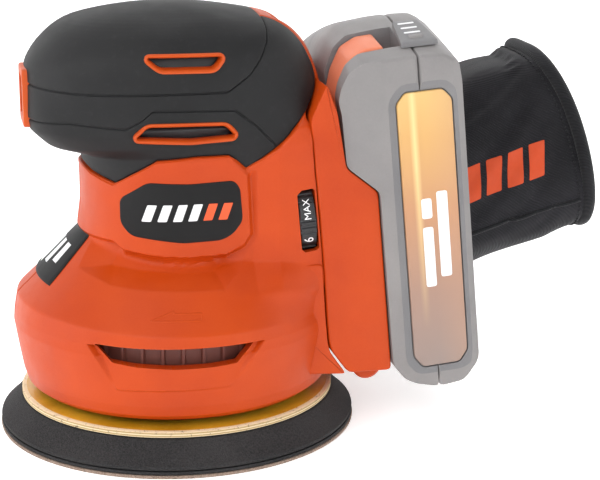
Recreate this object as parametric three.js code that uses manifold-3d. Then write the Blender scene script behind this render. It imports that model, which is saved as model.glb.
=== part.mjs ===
// Cordless random orbit sander, 125 mm pad. Millimetres, +Z up.
// Origin: centre of the abrasive face. -X is the palm nose, +X the battery, -Y the dial side.
import * as THREE from 'three';
import { mergeVertices } from 'three/addons/utils/BufferGeometryUtils.js';
import Module from 'manifold-3d';

const wasm = await Module();
wasm.setup();
const { Manifold, Mesh: SolidMesh } = wasm;

// ---- driving dimensions -------------------------------------------------
const PAD_RADIUS = 62.5;
const ORBIT_OFFSET = 1.2; // the motor axis stands this far from the pad axis
const WALL = 2.4; // housing wall
const SKIN = 2.2; // soft overmould thickness
const GAP = 0.3; // clearance between touching pieces
const GRIP_HALF_WIDTH = 36.4;
const FLANK_HALF_WIDTH = 34.6; // flat sides of the rear housing
const MOUNT_TILT = THREE.MathUtils.degToRad(5); // battery leans back from vertical
const BATTERY_HALF_WIDTH = 38;
const PARTING = 87.3; // where the two battery cases meet
const ROOF = { ridge: 133.4, slope: Math.atan(9 / 38), gaugeY: -22.4 }; // top of the battery
const CELL = { radius: 9.2, length: 65, pitch: 19.2, count: 5, first: 26 };
const BAG_TILT = THREE.MathUtils.degToRad(17.5);
const BAG = { y: 71.5, halfWidth: 28, low: -9, high: 70, start: 78, end: 181, skin: 1.4 };
const DUCT = { radius: 15, bore: 12.8, y: 58, b: 30 };
const MOTOR_X = -ORBIT_OFFSET;
const DIAL = { x: 39.8, y: -22.6, z: 77.2, radius: 14, width: 5.6 };
const SCREWS = [[-34, 41.6, 28], [26, 46.8, 28], [33, 33.4, 92]]; // heads, on the +Y side
const HOLES = { count: 8, radius: 4.6, circle: 32.5 };

// ---- outer skin of the tool --------------------------------------------
// Each row is one level round the tool: reach to the front, side and rear, squareness of the
// front and rear plan curves, and its height at the front, side and rear.
const LEVELS = [
  [50, 50, 50, 2, 2, 16, 16, 16],
  [52.6, 52.6, 52.6, 2, 2, 18, 18, 18],
  [53.8, 53.8, 53.8, 2, 2, 21.8, 21.8, 21.8],
  [55.2, 55.2, 55.2, 2, 2, 30, 30, 30],
  [56.5, 56.5, 56.5, 2, 2, 38.5, 38.5, 38.5],
  [56.2, 56.2, 56.2, 2, 2, 42, 42, 42],
  [55, 55, 55, 2, 2, 48.6, 45.9, 44.7],
  [44, 44, 56, 2, 3, 59, 56, 52],
  [32.5, 33.6, 60, 2, 6, 70.5, 66, 60],
  [31, 33.6, 60, 2.2, 6, 80, 79, 78],
  [31, 33.8, 60, 2.2, 6, 92, 92, 92],
  [32, 34.6, 60, 2.2, 6, 98, 100, 100],
  [43.2, 35.4, 59, 2.4, 5, 100.9, 104, 104],
  [49.1, 36, 52, 2.5, 4, 106.5, 108, 108],
  [50.3, GRIP_HALF_WIDTH, 50.5, 2.5, 3.6, 111, 112, 113],
  [50, GRIP_HALF_WIDTH, 49.5, 2.5, 3.4, 117, 117, 118],
  [49.9, GRIP_HALF_WIDTH, 48.8, 2.5, 3, 122, 122, 123],
  [49.8, 36.2, 47.4, 2.5, 2.6, 127.6, 128, 128.5],
  [46.6, 35, 45, 2.4, 2.5, 133.2, 133.5, 134],
  [41.8, 31.6, 41, 2.3, 2.4, 138.4, 139, 138.7],
  [35.5, 26, 35.4, 2.2, 2.3, 142.8, 143, 142.2],
  [21, 15.5, 20.3, 2, 2, 145.9, 146, 145.1],
  [0, 0, 0, 2, 2, 147.1, 147.1, 147.1],
];
const TOP_LEVEL = LEVELS.length - 1;
const MID_GRIP = 15;
const SHELL_ROWS = [0, 2, 4, 6, 7, 8, 10, 11, 12, 13];
const GRIP_ROWS = [0, 11, 12, 13, 14, 16, 18, 19, TOP_LEVEL - 2];
const SKIN_ROWS = [0, 9, 10, 11, 12, 13, 14, 16, 18, 19, 20, 21, TOP_LEVEL];
const SHELL_CLEARANCE = 1.3; // the shell steps in this far below the soft skin

const lerp = (a, b, f) => a + (b - a) * f;

function plan(level, cos, sin) {
  const [front, side, rear, squareFront, squareRear, zFront, zSide, zRear] = level;
  const end = Math.max(cos < 0 ? front : rear, 1e-6);
  const power = cos < 0 ? squareFront : squareRear;
  const across = Math.pow(Math.abs(sin) / Math.max(side, 1e-6), power);
  const reach = Math.pow(Math.pow(Math.abs(cos) / end, power) + across, -1 / power);
  const height = lerp(zSide, cos < 0 ? zFront : zRear, cos * cos);
  return [reach, height];
}

function skinPoint(angle, t) {
  const low = Math.min(Math.floor(t), TOP_LEVEL - 1);
  const [cos, sin] = [Math.cos(angle), Math.sin(angle)];
  const [r0, z0] = plan(LEVELS[low], cos, sin);
  const [r1, z1] = plan(LEVELS[low + 1], cos, sin);
  const reach = lerp(r0, r1, t - low);
  return new THREE.Vector3(reach * cos, reach * sin, lerp(z0, z1, t - low));
}

function insetPoint(angle, t, depth) {
  const step = 0.25;
  const tLow = Math.max(t - step, 0);
  const tHigh = Math.min(t + step, TOP_LEVEL - 0.02);
  const up = skinPoint(angle, tHigh).sub(skinPoint(angle, tLow));
  const round = skinPoint(angle + 0.05, t).sub(skinPoint(angle - 0.05, t));
  const inward = up.cross(round).normalize();
  const point = skinPoint(angle, t);
  if (t > TOP_LEVEL - 0.05) inward.set(0, 0, -1);
  return point.addScaledVector(inward, depth);
}

// ---- seams, as curves in the side view ----------------------------------
const SHELL_END = [[23, 53.5], [27, 50.2], [31, 47.5], [42.7, 46], [65.4, 44.6], [89, 42.5], [111, 40.2]];
const SOFT_EDGE = [[-60, 95.9], [-34, 95.9], [-22.8, 90.7], [-9.9, 99.4], [13.5, 100.5], [19.8, 95.6],
  [29.3, 102.4], [40.3, 113.5], [46, 123.2], [60, 147]];
const BAND_LOW = [[-60, 110.5], [-37.6, 111.9], [-20, 110.3], [-11.4, 116.2], [15.5, 115.6],
  [29.8, 102.9], [40.3, 113.9], [46, 123.6], [60, 147.4]];
const PALM_LOW_Z = 121.5;
const PALM_REAR = [[121.5, 13.2], [126.6, 20.6], [131.7, 24.9], [136.5, 27.6], [147.2, 28.4]];

function along(curve, value) {
  const last = curve.length - 1;
  let i = 0;
  while (i < last - 1 && value > curve[i + 1][0]) i += 1;
  const [a, b] = [curve[i], curve[i + 1]];
  const f = THREE.MathUtils.clamp((value - a[0]) / (b[0] - a[0]), 0, 1);
  return lerp(a[1], b[1], f);
}

const aboveSoftEdge = (p) => p.z - along(SOFT_EDGE, p.x);
const aboveBandLow = (p) => p.z - along(BAND_LOW, p.x);
const insidePalm = (p) => Math.min(p.z - PALM_LOW_Z, along(PALM_REAR, p.z) - p.x);

function levelWhere(test, angleAt, from, to) {
  let [low, high] = [from, to];
  for (let i = 0; i < 30; i += 1) {
    const mid = (low + high) / 2;
    if (test(skinPoint(angleAt(mid), mid)) > 0) high = mid;
    else low = mid;
  }
  return (low + high) / 2;
}

// The shell runs round to the rear seam low down, and closes behind the grip higher up.
function rearAngle(t) {
  const z = skinPoint(-Math.PI / 4, t).z;
  const seam = Math.atan2(FLANK_HALF_WIDTH, along(SHELL_END, z));
  const closing = THREE.MathUtils.smoothstep(t, MID_GRIP - 1, MID_GRIP + 2);
  return lerp(seam, THREE.MathUtils.degToRad(22), closing);
}

// ---- solids from grids ---------------------------------------------------
function closedGrid(outer, inner, wrap = false) {
  const rows = outer.length;
  const columns = outer[0].length;
  const points = [...outer.flat(), ...inner.flat()];
  const half = rows * columns;
  const faces = [];
  const quad = (a, b, c, d) => faces.push(a, b, c, a, c, d);
  const at = (row, column) => row * columns + (column % columns);
  const spans = wrap ? columns : columns - 1;
  for (let r = 0; r < rows - 1; r += 1) {
    for (let c = 0; c < spans; c += 1) {
      quad(at(r, c), at(r, c + 1), at(r + 1, c + 1), at(r + 1, c));
      quad(half + at(r, c), half + at(r + 1, c), half + at(r + 1, c + 1), half + at(r, c + 1));
    }
  }
  for (let c = 0; c < spans; c += 1) {
    quad(at(0, c + 1), at(0, c), half + at(0, c), half + at(0, c + 1));
    const top = rows - 1;
    quad(at(top, c), at(top, c + 1), half + at(top, c + 1), half + at(top, c));
  }
  for (let r = 0; r < rows - 1 && !wrap; r += 1) {
    const end = columns - 1;
    quad(at(r, 0), at(r + 1, 0), half + at(r + 1, 0), half + at(r, 0));
    quad(at(r + 1, end), at(r, end), half + at(r, end), half + at(r + 1, end));
  }
  return facesToGeometry(points, faces);
}

function facesToGeometry(points, faces) {
  const positions = faces.flatMap((i) => points[i].toArray());
  const geometry = new THREE.BufferGeometry();
  geometry.setAttribute('position', new THREE.Float32BufferAttribute(positions, 3));
  return weld(geometry);
}

function weld(source) {
  const geometry = source.clone();
  geometry.deleteAttribute('normal');
  geometry.deleteAttribute('uv');
  const merged = mergeVertices(geometry, 1e-4);
  const index = Array.from(merged.index.array);
  const kept = [];
  for (let i = 0; i < index.length; i += 3) {
    const [a, b, c] = index.slice(i, i + 3);
    if (a !== b && b !== c && c !== a) kept.push(a, b, c);
  }
  merged.setIndex(kept);
  return merged;
}

function toSolid(geometry) {
  const welded = weld(geometry);
  const mesh = new SolidMesh({
    numProp: 3,
    vertProperties: new Float32Array(welded.attributes.position.array),
    triVerts: new Uint32Array(welded.index.array),
  });
  mesh.merge();
  return new Manifold(mesh);
}

function fromSolid(solid) {
  const mesh = solid.getMesh();
  const geometry = new THREE.BufferGeometry();
  geometry.setAttribute('position', new THREE.BufferAttribute(mesh.vertProperties, 3));
  geometry.setIndex(Array.from(mesh.triVerts));
  return geometry;
}

function subtract(geometry, ...tools) {
  return fromSolid(tools.reduce((body, tool) => body.subtract(toSolid(tool)), toSolid(geometry)));
}

function join(...geometries) {
  return fromSolid(geometries.map(toSolid).reduce((a, b) => a.add(b)));
}

function mirrored(source) {
  const geometry = source.clone().scale(1, -1, 1);
  const index = Array.from(geometry.index.array);
  for (let i = 0; i < index.length; i += 3) [index[i], index[i + 1]] = [index[i + 1], index[i]];
  geometry.setIndex(index);
  return geometry;
}

// ---- simple shapes --------------------------------------------------------
function lathe(profile, segments = 24) {
  const points = profile.map(([r, z]) => new THREE.Vector2(r, z));
  const area = points.reduce((sum, p, i) => {
    const q = points[(i + 1) % points.length];
    return sum + p.x * q.y - q.x * p.y;
  }, 0);
  if (area < 0) points.reverse();
  if (profile[0][0] > 0) points.push(points[0].clone());
  return new THREE.LatheGeometry(points, segments).rotateX(Math.PI / 2);
}

function ring(inner, outer, low, high, segments) {
  return lathe([[inner, low], [outer, low], [outer, high], [inner, high]], segments);
}

function rod(radius, low, high, segments = 16) {
  return lathe([[0, low], [radius, low], [radius, high], [0, high]], segments);
}

function block(x0, x1, y0, y1, z0, z1) {
  const box = new THREE.BoxGeometry(x1 - x0, y1 - y0, z1 - z0);
  return box.translate((x0 + x1) / 2, (y0 + y1) / 2, (z0 + z1) / 2);
}

function wound(outline, clockwise) {
  const points = outline.map(([x, y]) => new THREE.Vector2(x, y));
  return THREE.ShapeUtils.isClockWise(points) === clockwise ? points : points.reverse();
}

// A slab whose outline lies in the side view.
function slabXZ(outline, yLow, yHigh, holes = []) {
  const shape = new THREE.Shape(wound(outline, false));
  shape.holes = holes.map((hole) => new THREE.Path(wound(hole, true)));
  const solid = new THREE.ExtrudeGeometry(shape, { depth: yHigh - yLow, bevelEnabled: false });
  return solid.rotateX(Math.PI / 2).translate(0, yHigh, 0);
}

function circle(x, y, radius, count) {
  return Array.from({ length: count }, (_, i) => {
    const angle = (i / count) * Math.PI * 2;
    return [x + radius * Math.cos(angle), y + radius * Math.sin(angle)];
  });
}

// A plate lying flat, with a round outline and the ring of dust holes.
function drilledDisc(radius, low, high, centreHole = 0) {
  const shape = new THREE.Shape(wound(circle(0, 0, radius, 40), false));
  const holes = Array.from({ length: HOLES.count }, (_, i) => {
    const angle = ((i + 0.5) / HOLES.count) * Math.PI * 2;
    return circle(HOLES.circle * Math.cos(angle), HOLES.circle * Math.sin(angle), HOLES.radius, 8);
  });
  if (centreHole > 0) holes.push(circle(0, 0, centreHole, 12));
  shape.holes = holes.map((hole) => new THREE.Path(wound(hole, true)));
  const solid = new THREE.ExtrudeGeometry(shape, { depth: high - low, bevelEnabled: false });
  return weld(solid.translate(0, 0, low));
}

// ---- materials -------------------------------------------------------------
const FINISHES = {
  orange: [0xd8552a, 0.5, 0],
  softBlack: [0x37373a, 0.75, 0],
  black: [0x1c1c1e, 0.5, 0],
  gold: [0xc9972f, 0.45, 0],
  foam: [0x232325, 0.9, 0],
  abrasive: [0x5b5046, 0.95, 0],
  grey: [0xb4b6b8, 0.5, 0],
  amber: [0xe0a45c, 0.4, 0],
  steel: [0xa9acb0, 0.35, 1],
  copper: [0xb06a3a, 0.4, 1],
  green: [0x2f6b46, 0.6, 0],
  fabric: [0x252527, 0.95, 0],
};

const sander = new THREE.Group();

function add(name, geometry, finish) {
  const [color, roughness, metalness] = FINISHES[finish];
  const material = new THREE.MeshStandardMaterial({ color, roughness, metalness });
  const welded = weld(geometry);
  welded.computeVertexNormals();
  const mesh = new THREE.Mesh(welded, material);
  mesh.name = name;
  sander.add(mesh);
}

// ---- housing ---------------------------------------------------------------
const SPLIT = GAP / 2 / 30; // angle that keeps the two halves apart at the centre plane

function spread(count, from, to) {
  return Array.from({ length: count + 1 }, (_, i) => lerp(from, to, i / count));
}

// Columns run from the front centre line round the dial side to the rear.
function columnAngle(u, t) {
  return -Math.PI + SPLIT + u * (Math.PI - SPLIT - rearAngle(t));
}

function keepOffCentre(point) {
  point.y = Math.min(point.y, -GAP / 2);
  return point;
}

function shellHalf() {
  const columns = spread(15, 0, 1);
  const table = columns.map((u) => {
    const angleAt = (t) => columnAngle(u, t);
    const edge = levelWhere(aboveSoftEdge, angleAt, 8, TOP_LEVEL - 2) - 0.1;
    const lower = [...SHELL_ROWS.map((t) => Math.min(t, edge)), edge].map((t) => [t, 0]);
    const upper = GRIP_ROWS.map((t) => [Math.max(t, edge + 0.01), SKIN + SHELL_CLEARANCE]);
    return [...lower, ...upper].map(([t, depth]) => [angleAt(t), t, depth]);
  });
  const rows = table[0].map((_, r) => table.map((column) => column[r]));
  const outer = rows.map((row) => row.map(([a, t, d]) => keepOffCentre(insetPoint(a, t, d))));
  const inner = rows.map((row) => row.map(([a, t, d]) => keepOffCentre(insetPoint(a, t, d + WALL))));
  return closedGrid(outer, inner);
}

function softPatch(columns, angleFor, lowTest, highTest, range) {
  const table = columns.map((u) => {
    const angleAt = (t) => angleFor(u, t);
    const low = levelWhere(lowTest, angleAt, range[0], range[1]) + 0.12;
    const high = highTest ? levelWhere(highTest, angleAt, range[0], range[1]) - 0.2 : range[1];
    const levels = SKIN_ROWS.map((t) => THREE.MathUtils.clamp(t, low, high));
    return levels.map((t) => [angleAt(t), t]);
  });
  const rows = table[0].map((_, r) => table.map((column) => column[r]));
  const outer = rows.map((row) => row.map(([a, t]) => insetPoint(a, t, 0)));
  const inner = rows.map((row) => row.map(([a, t]) => insetPoint(a, t, SKIN)));
  return { outer, inner };
}

function halfPatch(lowTest, highTest, range) {
  const { outer, inner } = softPatch(spread(13, 0, 1), columnAngle, lowTest, highTest, range);
  return closedGrid(outer.map((row) => row.map(keepOffCentre)), inner.map((row) => row.map(keepOffCentre)));
}

const UPPER_VENT = [[-12.5, 132.4], [11.5, 132.4], [8.5, 129.4], [-8.5, 129.4]];
const LOWER_VENT = [[-12, 110.6], [12, 110.6], [15.4, 107.2], [-16.4, 107.2]];

const PLATE = [[-21.6, 86.3], [-13.3, 92], [14.9, 91.9], [17, 89.4], [17.6, 78.4], [10.6, 72.2],
  [-1.9, 71.9], [-18.5, 74], [-21.6, 77.9]];

function grownOutline(outline, by) {
  const [cx, cz] = [0, 1].map((k) => outline.reduce((sum, p) => sum + p[k], 0) / outline.length);
  return outline.map(([x, z]) => [x + Math.sign(x - cx) * by * 1.4, z + Math.sign(z - cz) * by]);
}

const ventTool = (outline, yHigh) => slabXZ(grownOutline(outline, 1.4), -60, yHigh);

function ventTrim(outline, yOuter) {
  return slabXZ(grownOutline(outline, 1.1), yOuter, yOuter + 5, [outline]);
}

function bandVentTool() {
  const slot = [[-34, 41], [19, 41], [19, 36], [14, 34.9], [-26, 34.9], [-34, 36]];
  return slabXZ(slot, -70, -38);
}

// A point of the bag's rising frame: a along the bag, b square to it.
function rise(a, y, b) {
  return new THREE.Vector3(a, y, b).applyAxisAngle(new THREE.Vector3(0, 1, 0), -BAG_TILT);
}

function ductCurve() {
  return new THREE.CatmullRomCurve3([new THREE.Vector3(2, 43, 36.6), new THREE.Vector3(18, 49, 38.5),
    rise(52, DUCT.y, DUCT.b), rise(66, DUCT.y, DUCT.b), rise(82, DUCT.y, DUCT.b)]);
}

function ductRings(radius) {
  const curve = ductCurve();
  const acrossY = new THREE.Vector3(0, 1, 0);
  return spread(7, 0, 1).map((f) => {
    const centre = curve.getPoint(f);
    const ahead = curve.getTangent(f);
    const up = ahead.clone().cross(acrossY).normalize();
    const side = up.clone().cross(ahead);
    const around = circle(0, 0, radius, 16);
    return around.map(([a, b]) => centre.clone().addScaledVector(side, a).addScaledVector(up, b));
  });
}

// The bore alone, as a cutting tool.
function ductBore() {
  const [start, end] = [new THREE.Vector3(2, 43, 36.6), rise(52, DUCT.y, DUCT.b)];
  const run = end.clone().sub(start);
  const turn = new THREE.Quaternion().setFromUnitVectors(new THREE.Vector3(0, 0, 1), run.clone().normalize());
  return rod(DUCT.bore, 0, run.length(), 16).applyQuaternion(turn).translate(...start.toArray());
}

function buildHousing() {
  const dialWindow = block(DIAL.x - 3.9, DIAL.x + 3.9, -60, -12, 65.4, 89);
  const noseSwitch = block(-60, -40, -10, 10, 107, 127);
  const left = subtract(shellHalf(), bandVentTool(), dialWindow, noseSwitch,
    ventTool(UPPER_VENT, -20), ventTool(LOWER_VENT, -20));
  const rightBase = mirrored(weld(subtract(shellHalf(), bandVentTool(), noseSwitch,
    ventTool(UPPER_VENT, -20), ventTool(LOWER_VENT, -20))));
  const sunk = () => rod(3.5, -4, 6, 10).rotateX(-Math.PI / 2);
  const screwHoles = SCREWS.map(([x, y, z]) => sunk().translate(x, y, z));
  const right = subtract(rightBase, ductBore(), ...screwHoles);
  add('shell_left', left, 'orange');
  add('shell_right', right, 'orange');
}

function buildGrip() {
  const noseSwitch = block(-60, -40, -10.6, 10.6, 106.4, 127.6);
  const around = (u) => u * Math.PI * 2;
  const columns = Array.from({ length: 32 }, (_, i) => i / 32);
  const palm = softPatch(columns, around, insidePalm, null, [MID_GRIP, TOP_LEVEL]);
  const cushion = subtract(closedGrid(palm.outer, palm.inner, true), ventTool(UPPER_VENT, -20),
    mirrored(weld(ventTool(UPPER_VENT, -20))), noseSwitch);
  add('palm_cushion', cushion, 'softBlack');
  const band = subtract(halfPatch(aboveBandLow, insidePalm, [11, TOP_LEVEL - 0.5]), noseSwitch);
  const throat = subtract(halfPatch(aboveSoftEdge, aboveBandLow, [8, TOP_LEVEL - 4]),
    ventTool(LOWER_VENT, -20), noseSwitch);
  for (const [side, turn] of [['left', (g) => g], ['right', mirrored]]) {
    add(`grip_band_${side}`, turn(weld(band)), 'softBlack');
    add(`throat_grip_${side}`, turn(weld(throat)), 'softBlack');
    add(`upper_vent_trim_${side}`, turn(weld(ventTrim(UPPER_VENT, -37))), 'orange');
    add(`lower_vent_trim_${side}`, turn(weld(ventTrim(LOWER_VENT, -37.5))), 'orange');
  }
}


function buildHousingTrim() {
  const trimAngle = THREE.MathUtils.degToRad(20);
  const columns = spread(6, -trimAngle, trimAngle);
  const pick = (test, t0, t1) => columns.map((a) => levelWhere(test, () => a, t0, t1));
  const high = pick(insidePalm, MID_GRIP, TOP_LEVEL - 0.5);
  const row = (f) => columns.map((a, i) => [a, lerp(MID_GRIP - 0.4, high[i] - 0.12, f)]);
  const rows = spread(6, 0, 1).map(row);
  const outer = rows.map((row) => row.map(([a, t]) => insetPoint(a, t, 0)));
  const inner = rows.map((row) => row.map(([a, t]) => insetPoint(a, t, SKIN)));
  add('rear_spine_trim', closedGrid(outer, inner), 'orange');

  const plate = slabXZ(PLATE, -35.1, -34.2);
  add('name_plate_left', plate, 'black');
  add('name_plate_right', mirrored(weld(plate)), 'black');

  const labelColumns = spread(6, Math.PI - 0.42, Math.PI + 0.42);
  const labelRows = spread(4, 6.2, 7.7).map((t) => labelColumns.map((a) => [a, t]));
  add('front_label', closedGrid(labelRows.map((row) => row.map(([a, t]) => insetPoint(a, t, -1.1))),
    labelRows.map((row) => row.map(([a, t]) => insetPoint(a, t, -GAP)))), 'black');

  const bezel = slabXZ([[-51, 107.2], [-46.6, 107.2], [-46.6, 126.8], [-51, 126.8]], -9.6, 9.6);
  add('switch_bezel', subtract(bezel, block(-55, -40, -6.3, 6.3, 110, 124)), 'orange');
}

// The rear housing: a hollow body with an open front, leaning with the battery.
function buildRearHousing() {
  const outline = [[54, 22.6], [69, 22.6], [63.6, 86], [53, 94.4], [49.8, 113.5], [46.2, 122.4], [41, 111],
    [43, 89], [45.2, 65.4], [46.6, 42.7], [48.2, 31], [50.8, 27]];
  const hollow = [[40, 25.2], [66.3, 25.2], [61.2, 84.8], [50.8, 92.6], [47.6, 112], [40, 112]];
  const body = slabXZ(outline, -FLANK_HALF_WIDTH - 0.4, FLANK_HALF_WIDTH + 0.4);
  const open = slabXZ(hollow, -FLANK_HALF_WIDTH + WALL, FLANK_HALF_WIDTH - WALL);
  const lug = rod(5.4, -6, 6).rotateX(Math.PI / 2).translate(61.8, -24, 23.4);
  const stem = leaning(block(69.5, 72.6, -18, 18, 24, 77));
  const head = leaning(block(72.5, 74.7, -22, 22, 24, 77));
  const spineRoom = block(35, 55, -18.8, 18.8, 114, 130);
  add('rear_housing', join(subtract(body, open, spineRoom), subtract(lug, open), stem, head), 'orange');
}

// ---- motor and drive ---------------------------------------------------------
const onMotorAxis = (geometry) => geometry.translate(MOTOR_X, 0, 0);

function buildMotor() {
  add('motor_stator', onMotorAxis(ring(13.4, 23, 66, 90)), 'copper');
  const shaft = [[0, 24.4], [4, 24.4], [4, 60], [13, 60.6], [13, 95], [4, 95.6], [4, 104], [0, 104]];
  add('motor_rotor', onMotorAxis(lathe(shaft, 20)), 'steel');
  const bracket = [[9.4, 50], [28, 50], [28, 52.4], [25.6, 52.4], [25.6, 88], [23.3, 88], [23.3, 58.4],
    [9.4, 58.4]];
  add('motor_bracket', onMotorAxis(lathe(bracket)), 'black');
  add('lower_bearing', onMotorAxis(ring(4.2, 9, 51, 58)), 'steel');
  add('upper_bearing', onMotorAxis(ring(4.2, 9, 97, 102)), 'steel');
  const seat = [[9.4, 95.9], [21, 95.9], [21, 98], [11.6, 98], [11.6, 103], [9.4, 103]];
  add('bearing_seat', onMotorAxis(lathe(seat, 20)), 'black');
}

function buildFan() {
  const disc = ring(4.3, 43, 44, 45.6, 36);
  const hub = ring(4.3, 9, 32, 45, 20);
  const blades = Array.from({ length: 14 }, (_, i) => {
    const blade = block(8, 42, -0.8, 0.8, 33.5, 45);
    return blade.rotateZ((i / 14) * Math.PI * 2);
  });
  add('dust_fan', onMotorAxis(join(disc, hub, ...blades)), 'black');
}

function buildCrank() {
  const hub = rod(9, 24.1, 31.6, 20);
  const wedge = new THREE.Shape();
  wedge.absarc(0, 0, 27, Math.PI * 0.62, Math.PI * 1.38, false);
  wedge.lineTo(0, -6);
  wedge.lineTo(0, 6);
  const weight = new THREE.ExtrudeGeometry(wedge, { depth: 5.4, bevelEnabled: false, curveSegments: 10 });
  const pin = rod(5, 15.2, 26).translate(ORBIT_OFFSET, 0, 0);
  const socket = rod(4.3, 24.2, 40, 20);
  add('eccentric_weight', onMotorAxis(subtract(join(hub, weight.translate(0, 0, 26), pin), socket)), 'steel');
}

function buildPad() {
  add('sanding_disc', drilledDisc(PAD_RADIUS, 0, 1.1), 'abrasive');
  add('hook_layer', drilledDisc(PAD_RADIUS - 0.2, 1.4, 2.5), 'black');
  const foam = drilledDisc(PAD_RADIUS - 0.4, 2.8, 11, 9);
  const place = foam.attributes.position;
  for (let i = 0; i < place.count; i += 1) {
    const reach = Math.hypot(place.getX(i), place.getY(i));
    if (reach > 50 && place.getZ(i) > 10) {
      place.setXY(i, (place.getX(i) * 54.9) / reach, (place.getY(i) * 54.9) / reach);
    }
  }
  add('foam_cushion', foam, 'foam');
  add('backing_plate', drilledDisc(54.7, 11.3, 13.5, 4), 'gold');
  const hub = [[4, 13.8], [20, 13.8], [18, 16], [13.8, 17.4], [13.8, 23], [11.3, 23], [11.3, 14.9],
    [4, 14.9]];
  add('pad_hub', lathe(hub), 'black');
  add('pad_bearing', ring(5.3, 11, 15.2, 22.6), 'steel');
  add('pad_screw', lathe([[0, 8.8], [8, 8.8], [8, 11], [3, 11], [3, 14.9], [0, 14.9]], 16), 'steel');
  add('brake_skirt', ring(41.6, 45, 13.8, 19.6, 32), 'black');
}

// ---- controls -------------------------------------------------------------------
function buildControls() {
  const tilted = (geometry) => geometry.rotateY(-MOUNT_TILT).translate(DIAL.x, DIAL.y, DIAL.z);
  const axleHole = rod(3, -10, 10).rotateY(Math.PI / 2);
  const wheel = rod(DIAL.radius, -DIAL.width / 2, DIAL.width / 2, 32).rotateY(Math.PI / 2);
  add('speed_dial', tilted(subtract(wheel, axleHole)), 'black');
  const stem = rod(2.7, -4.4, 8).rotateY(Math.PI / 2);
  add('speed_pot', tilted(join(stem.translate(-4, 0, 0), block(-9, -3.4, -5, 5, -6, 6))), 'green');
  add('control_board', block(36, 37.6, -7, 22, 56, 86), 'green');
  add('switch_rocker', block(-50.4, -46.4, -5.8, 5.8, 111.2, 122.8), 'black');
  add('switch_module', block(-44.4, -34, -5.4, 5.4, 109.5, 124.5), 'black');
}

// ---- battery, drawn in its own leaning frame: t outward, s along its length ------
const leaning = (geometry) => geometry.rotateY(-MOUNT_TILT);

function batteryCase(outline, hollow) {
  const outer = slabXZ(outline, -BATTERY_HALF_WIDTH, BATTERY_HALF_WIDTH);
  const inner = slabXZ(hollow, -BATTERY_HALF_WIDTH + WALL, BATTERY_HALF_WIDTH - WALL);
  return subtract(outer, inner);
}

// The top falls away to both sides of a ridge.
function roofSlopes() {
  return [1, -1].map((sign) => {
    const above = block(50, 110, Math.min(0, sign * 60), Math.max(0, sign * 60), 0, 30);
    return above.rotateX(-sign * ROOF.slope).translate(0, 0, ROOF.ridge);
  });
}

// Places a thin piece on the near slope of the roof, where the level gauge sits.
function onRoof(geometry) {
  const height = ROOF.ridge - Math.abs(ROOF.gaugeY) * Math.tan(ROOF.slope);
  return leaning(geometry.rotateX(ROOF.slope).translate(0, ROOF.gaugeY, height));
}

function buildBattery() {
  const toolSide = [[79.2, 10.5], [75.5, 12.6], [72.2, 17.4], [71.4, 20], [71.4, 80], [61.2, 89.6],
    [60.9, 108.9], [60.2, 115], [61.4, 121], [64.5, 128.6], [69, 132.4], [80, ROOF.ridge],
    [PARTING - 0.15, ROOF.ridge], [PARTING - 0.15, 8.2]];
  const toolHollow = [[90, 14], [80.5, 14], [77.5, 18], [77.5, 82], [66, 92], [65, 100], [71.9, 103],
    [72, 118], [90, 118]];
  const channel = [block(50, 84.8, -29, -13, 121.5, 150), block(50, 69.5, -29, -13, 106, 150)];
  const railSlots = [block(70, 73, -18.4, 18.4, 0, 77.4), block(72.2, 75, -22.4, 22.4, 0, 77.4)];
  const notch = block(50, 60.9, -21, 21, 100, 121);
  const toolCase = subtract(batteryCase(toolSide, toolHollow), notch, ...channel, ...railSlots);
  add('battery_tool_case', leaning(subtract(toolCase, ...roofSlopes())), 'grey');
  const outside = [[PARTING + 0.15, 8.4], [96.3, 9.1], [102.4, 16.4], [102.3, 118.6], [101.4, 128.2],
    [96, 132.9], [PARTING + 0.15, ROOF.ridge]];
  const outHollow = [[80, 11.6], [95, 11.6], [99.8, 18], [99.8, 113], [97, 118], [84, 118]];
  const outerCase = batteryCase(outside, outHollow);
  add('battery_outer_case', leaning(subtract(outerCase, ...roofSlopes())), 'grey');

  const inlay = [[82, 16.5], [95, 16.5], [98, 20.5], [98, 109], [95, 112.5], [82, 112.5],
    [79, 109], [79, 20.5]];
  const side = slabXZ(inlay, -BATTERY_HALF_WIDTH - 1.1, -BATTERY_HALF_WIDTH - GAP);
  add('battery_inlay_left', leaning(side.clone()), 'amber');
  add('battery_inlay_right', leaning(mirrored(weld(side))), 'amber');

  for (let i = 0; i < CELL.count; i += 1) {
    const cell = rod(CELL.radius, -CELL.length / 2, CELL.length / 2, 18).rotateX(Math.PI / 2);
    add(`battery_cell_${i + 1}`, leaning(cell.translate(PARTING, 0, CELL.first + i * CELL.pitch)), 'green');
  }
  add('battery_board', leaning(block(67.4, 69, -26, 26, 91.6, 100.4)), 'green');
  const wedge = [[60.6, 107.4], [63.5, 107.4], [65.8, 121.8], [68, 124.4], [78.2, 124.4],
    [78.2, 128], [72, 127.8], [66.6, 125.4], [62.3, 118.5], [60.3, 112]];
  add('battery_latch', leaning(slabXZ(wedge, -28.4, -13.6)), 'orange');
  const panel = subtract(block(84.6, 95.8, -9.2, 9.2, 0.3, 1.7), block(86.6, 92.2, -7.6, -4.4, 0, 3));
  add('gauge_panel', onRoof(panel), 'grey');
  add('gauge_button', onRoof(block(87, 91.8, -7.1, -4.9, 1.3, 2.4)), 'grey');
  add('terminal_block', leaning(block(60.5, 67.6, -16, 16, 58, 76)), 'black');
}

// ---- dust duct and bag, drawn in the bag's own rising frame -----------------------
const rising = (geometry) => geometry.rotateY(-BAG_TILT);

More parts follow.
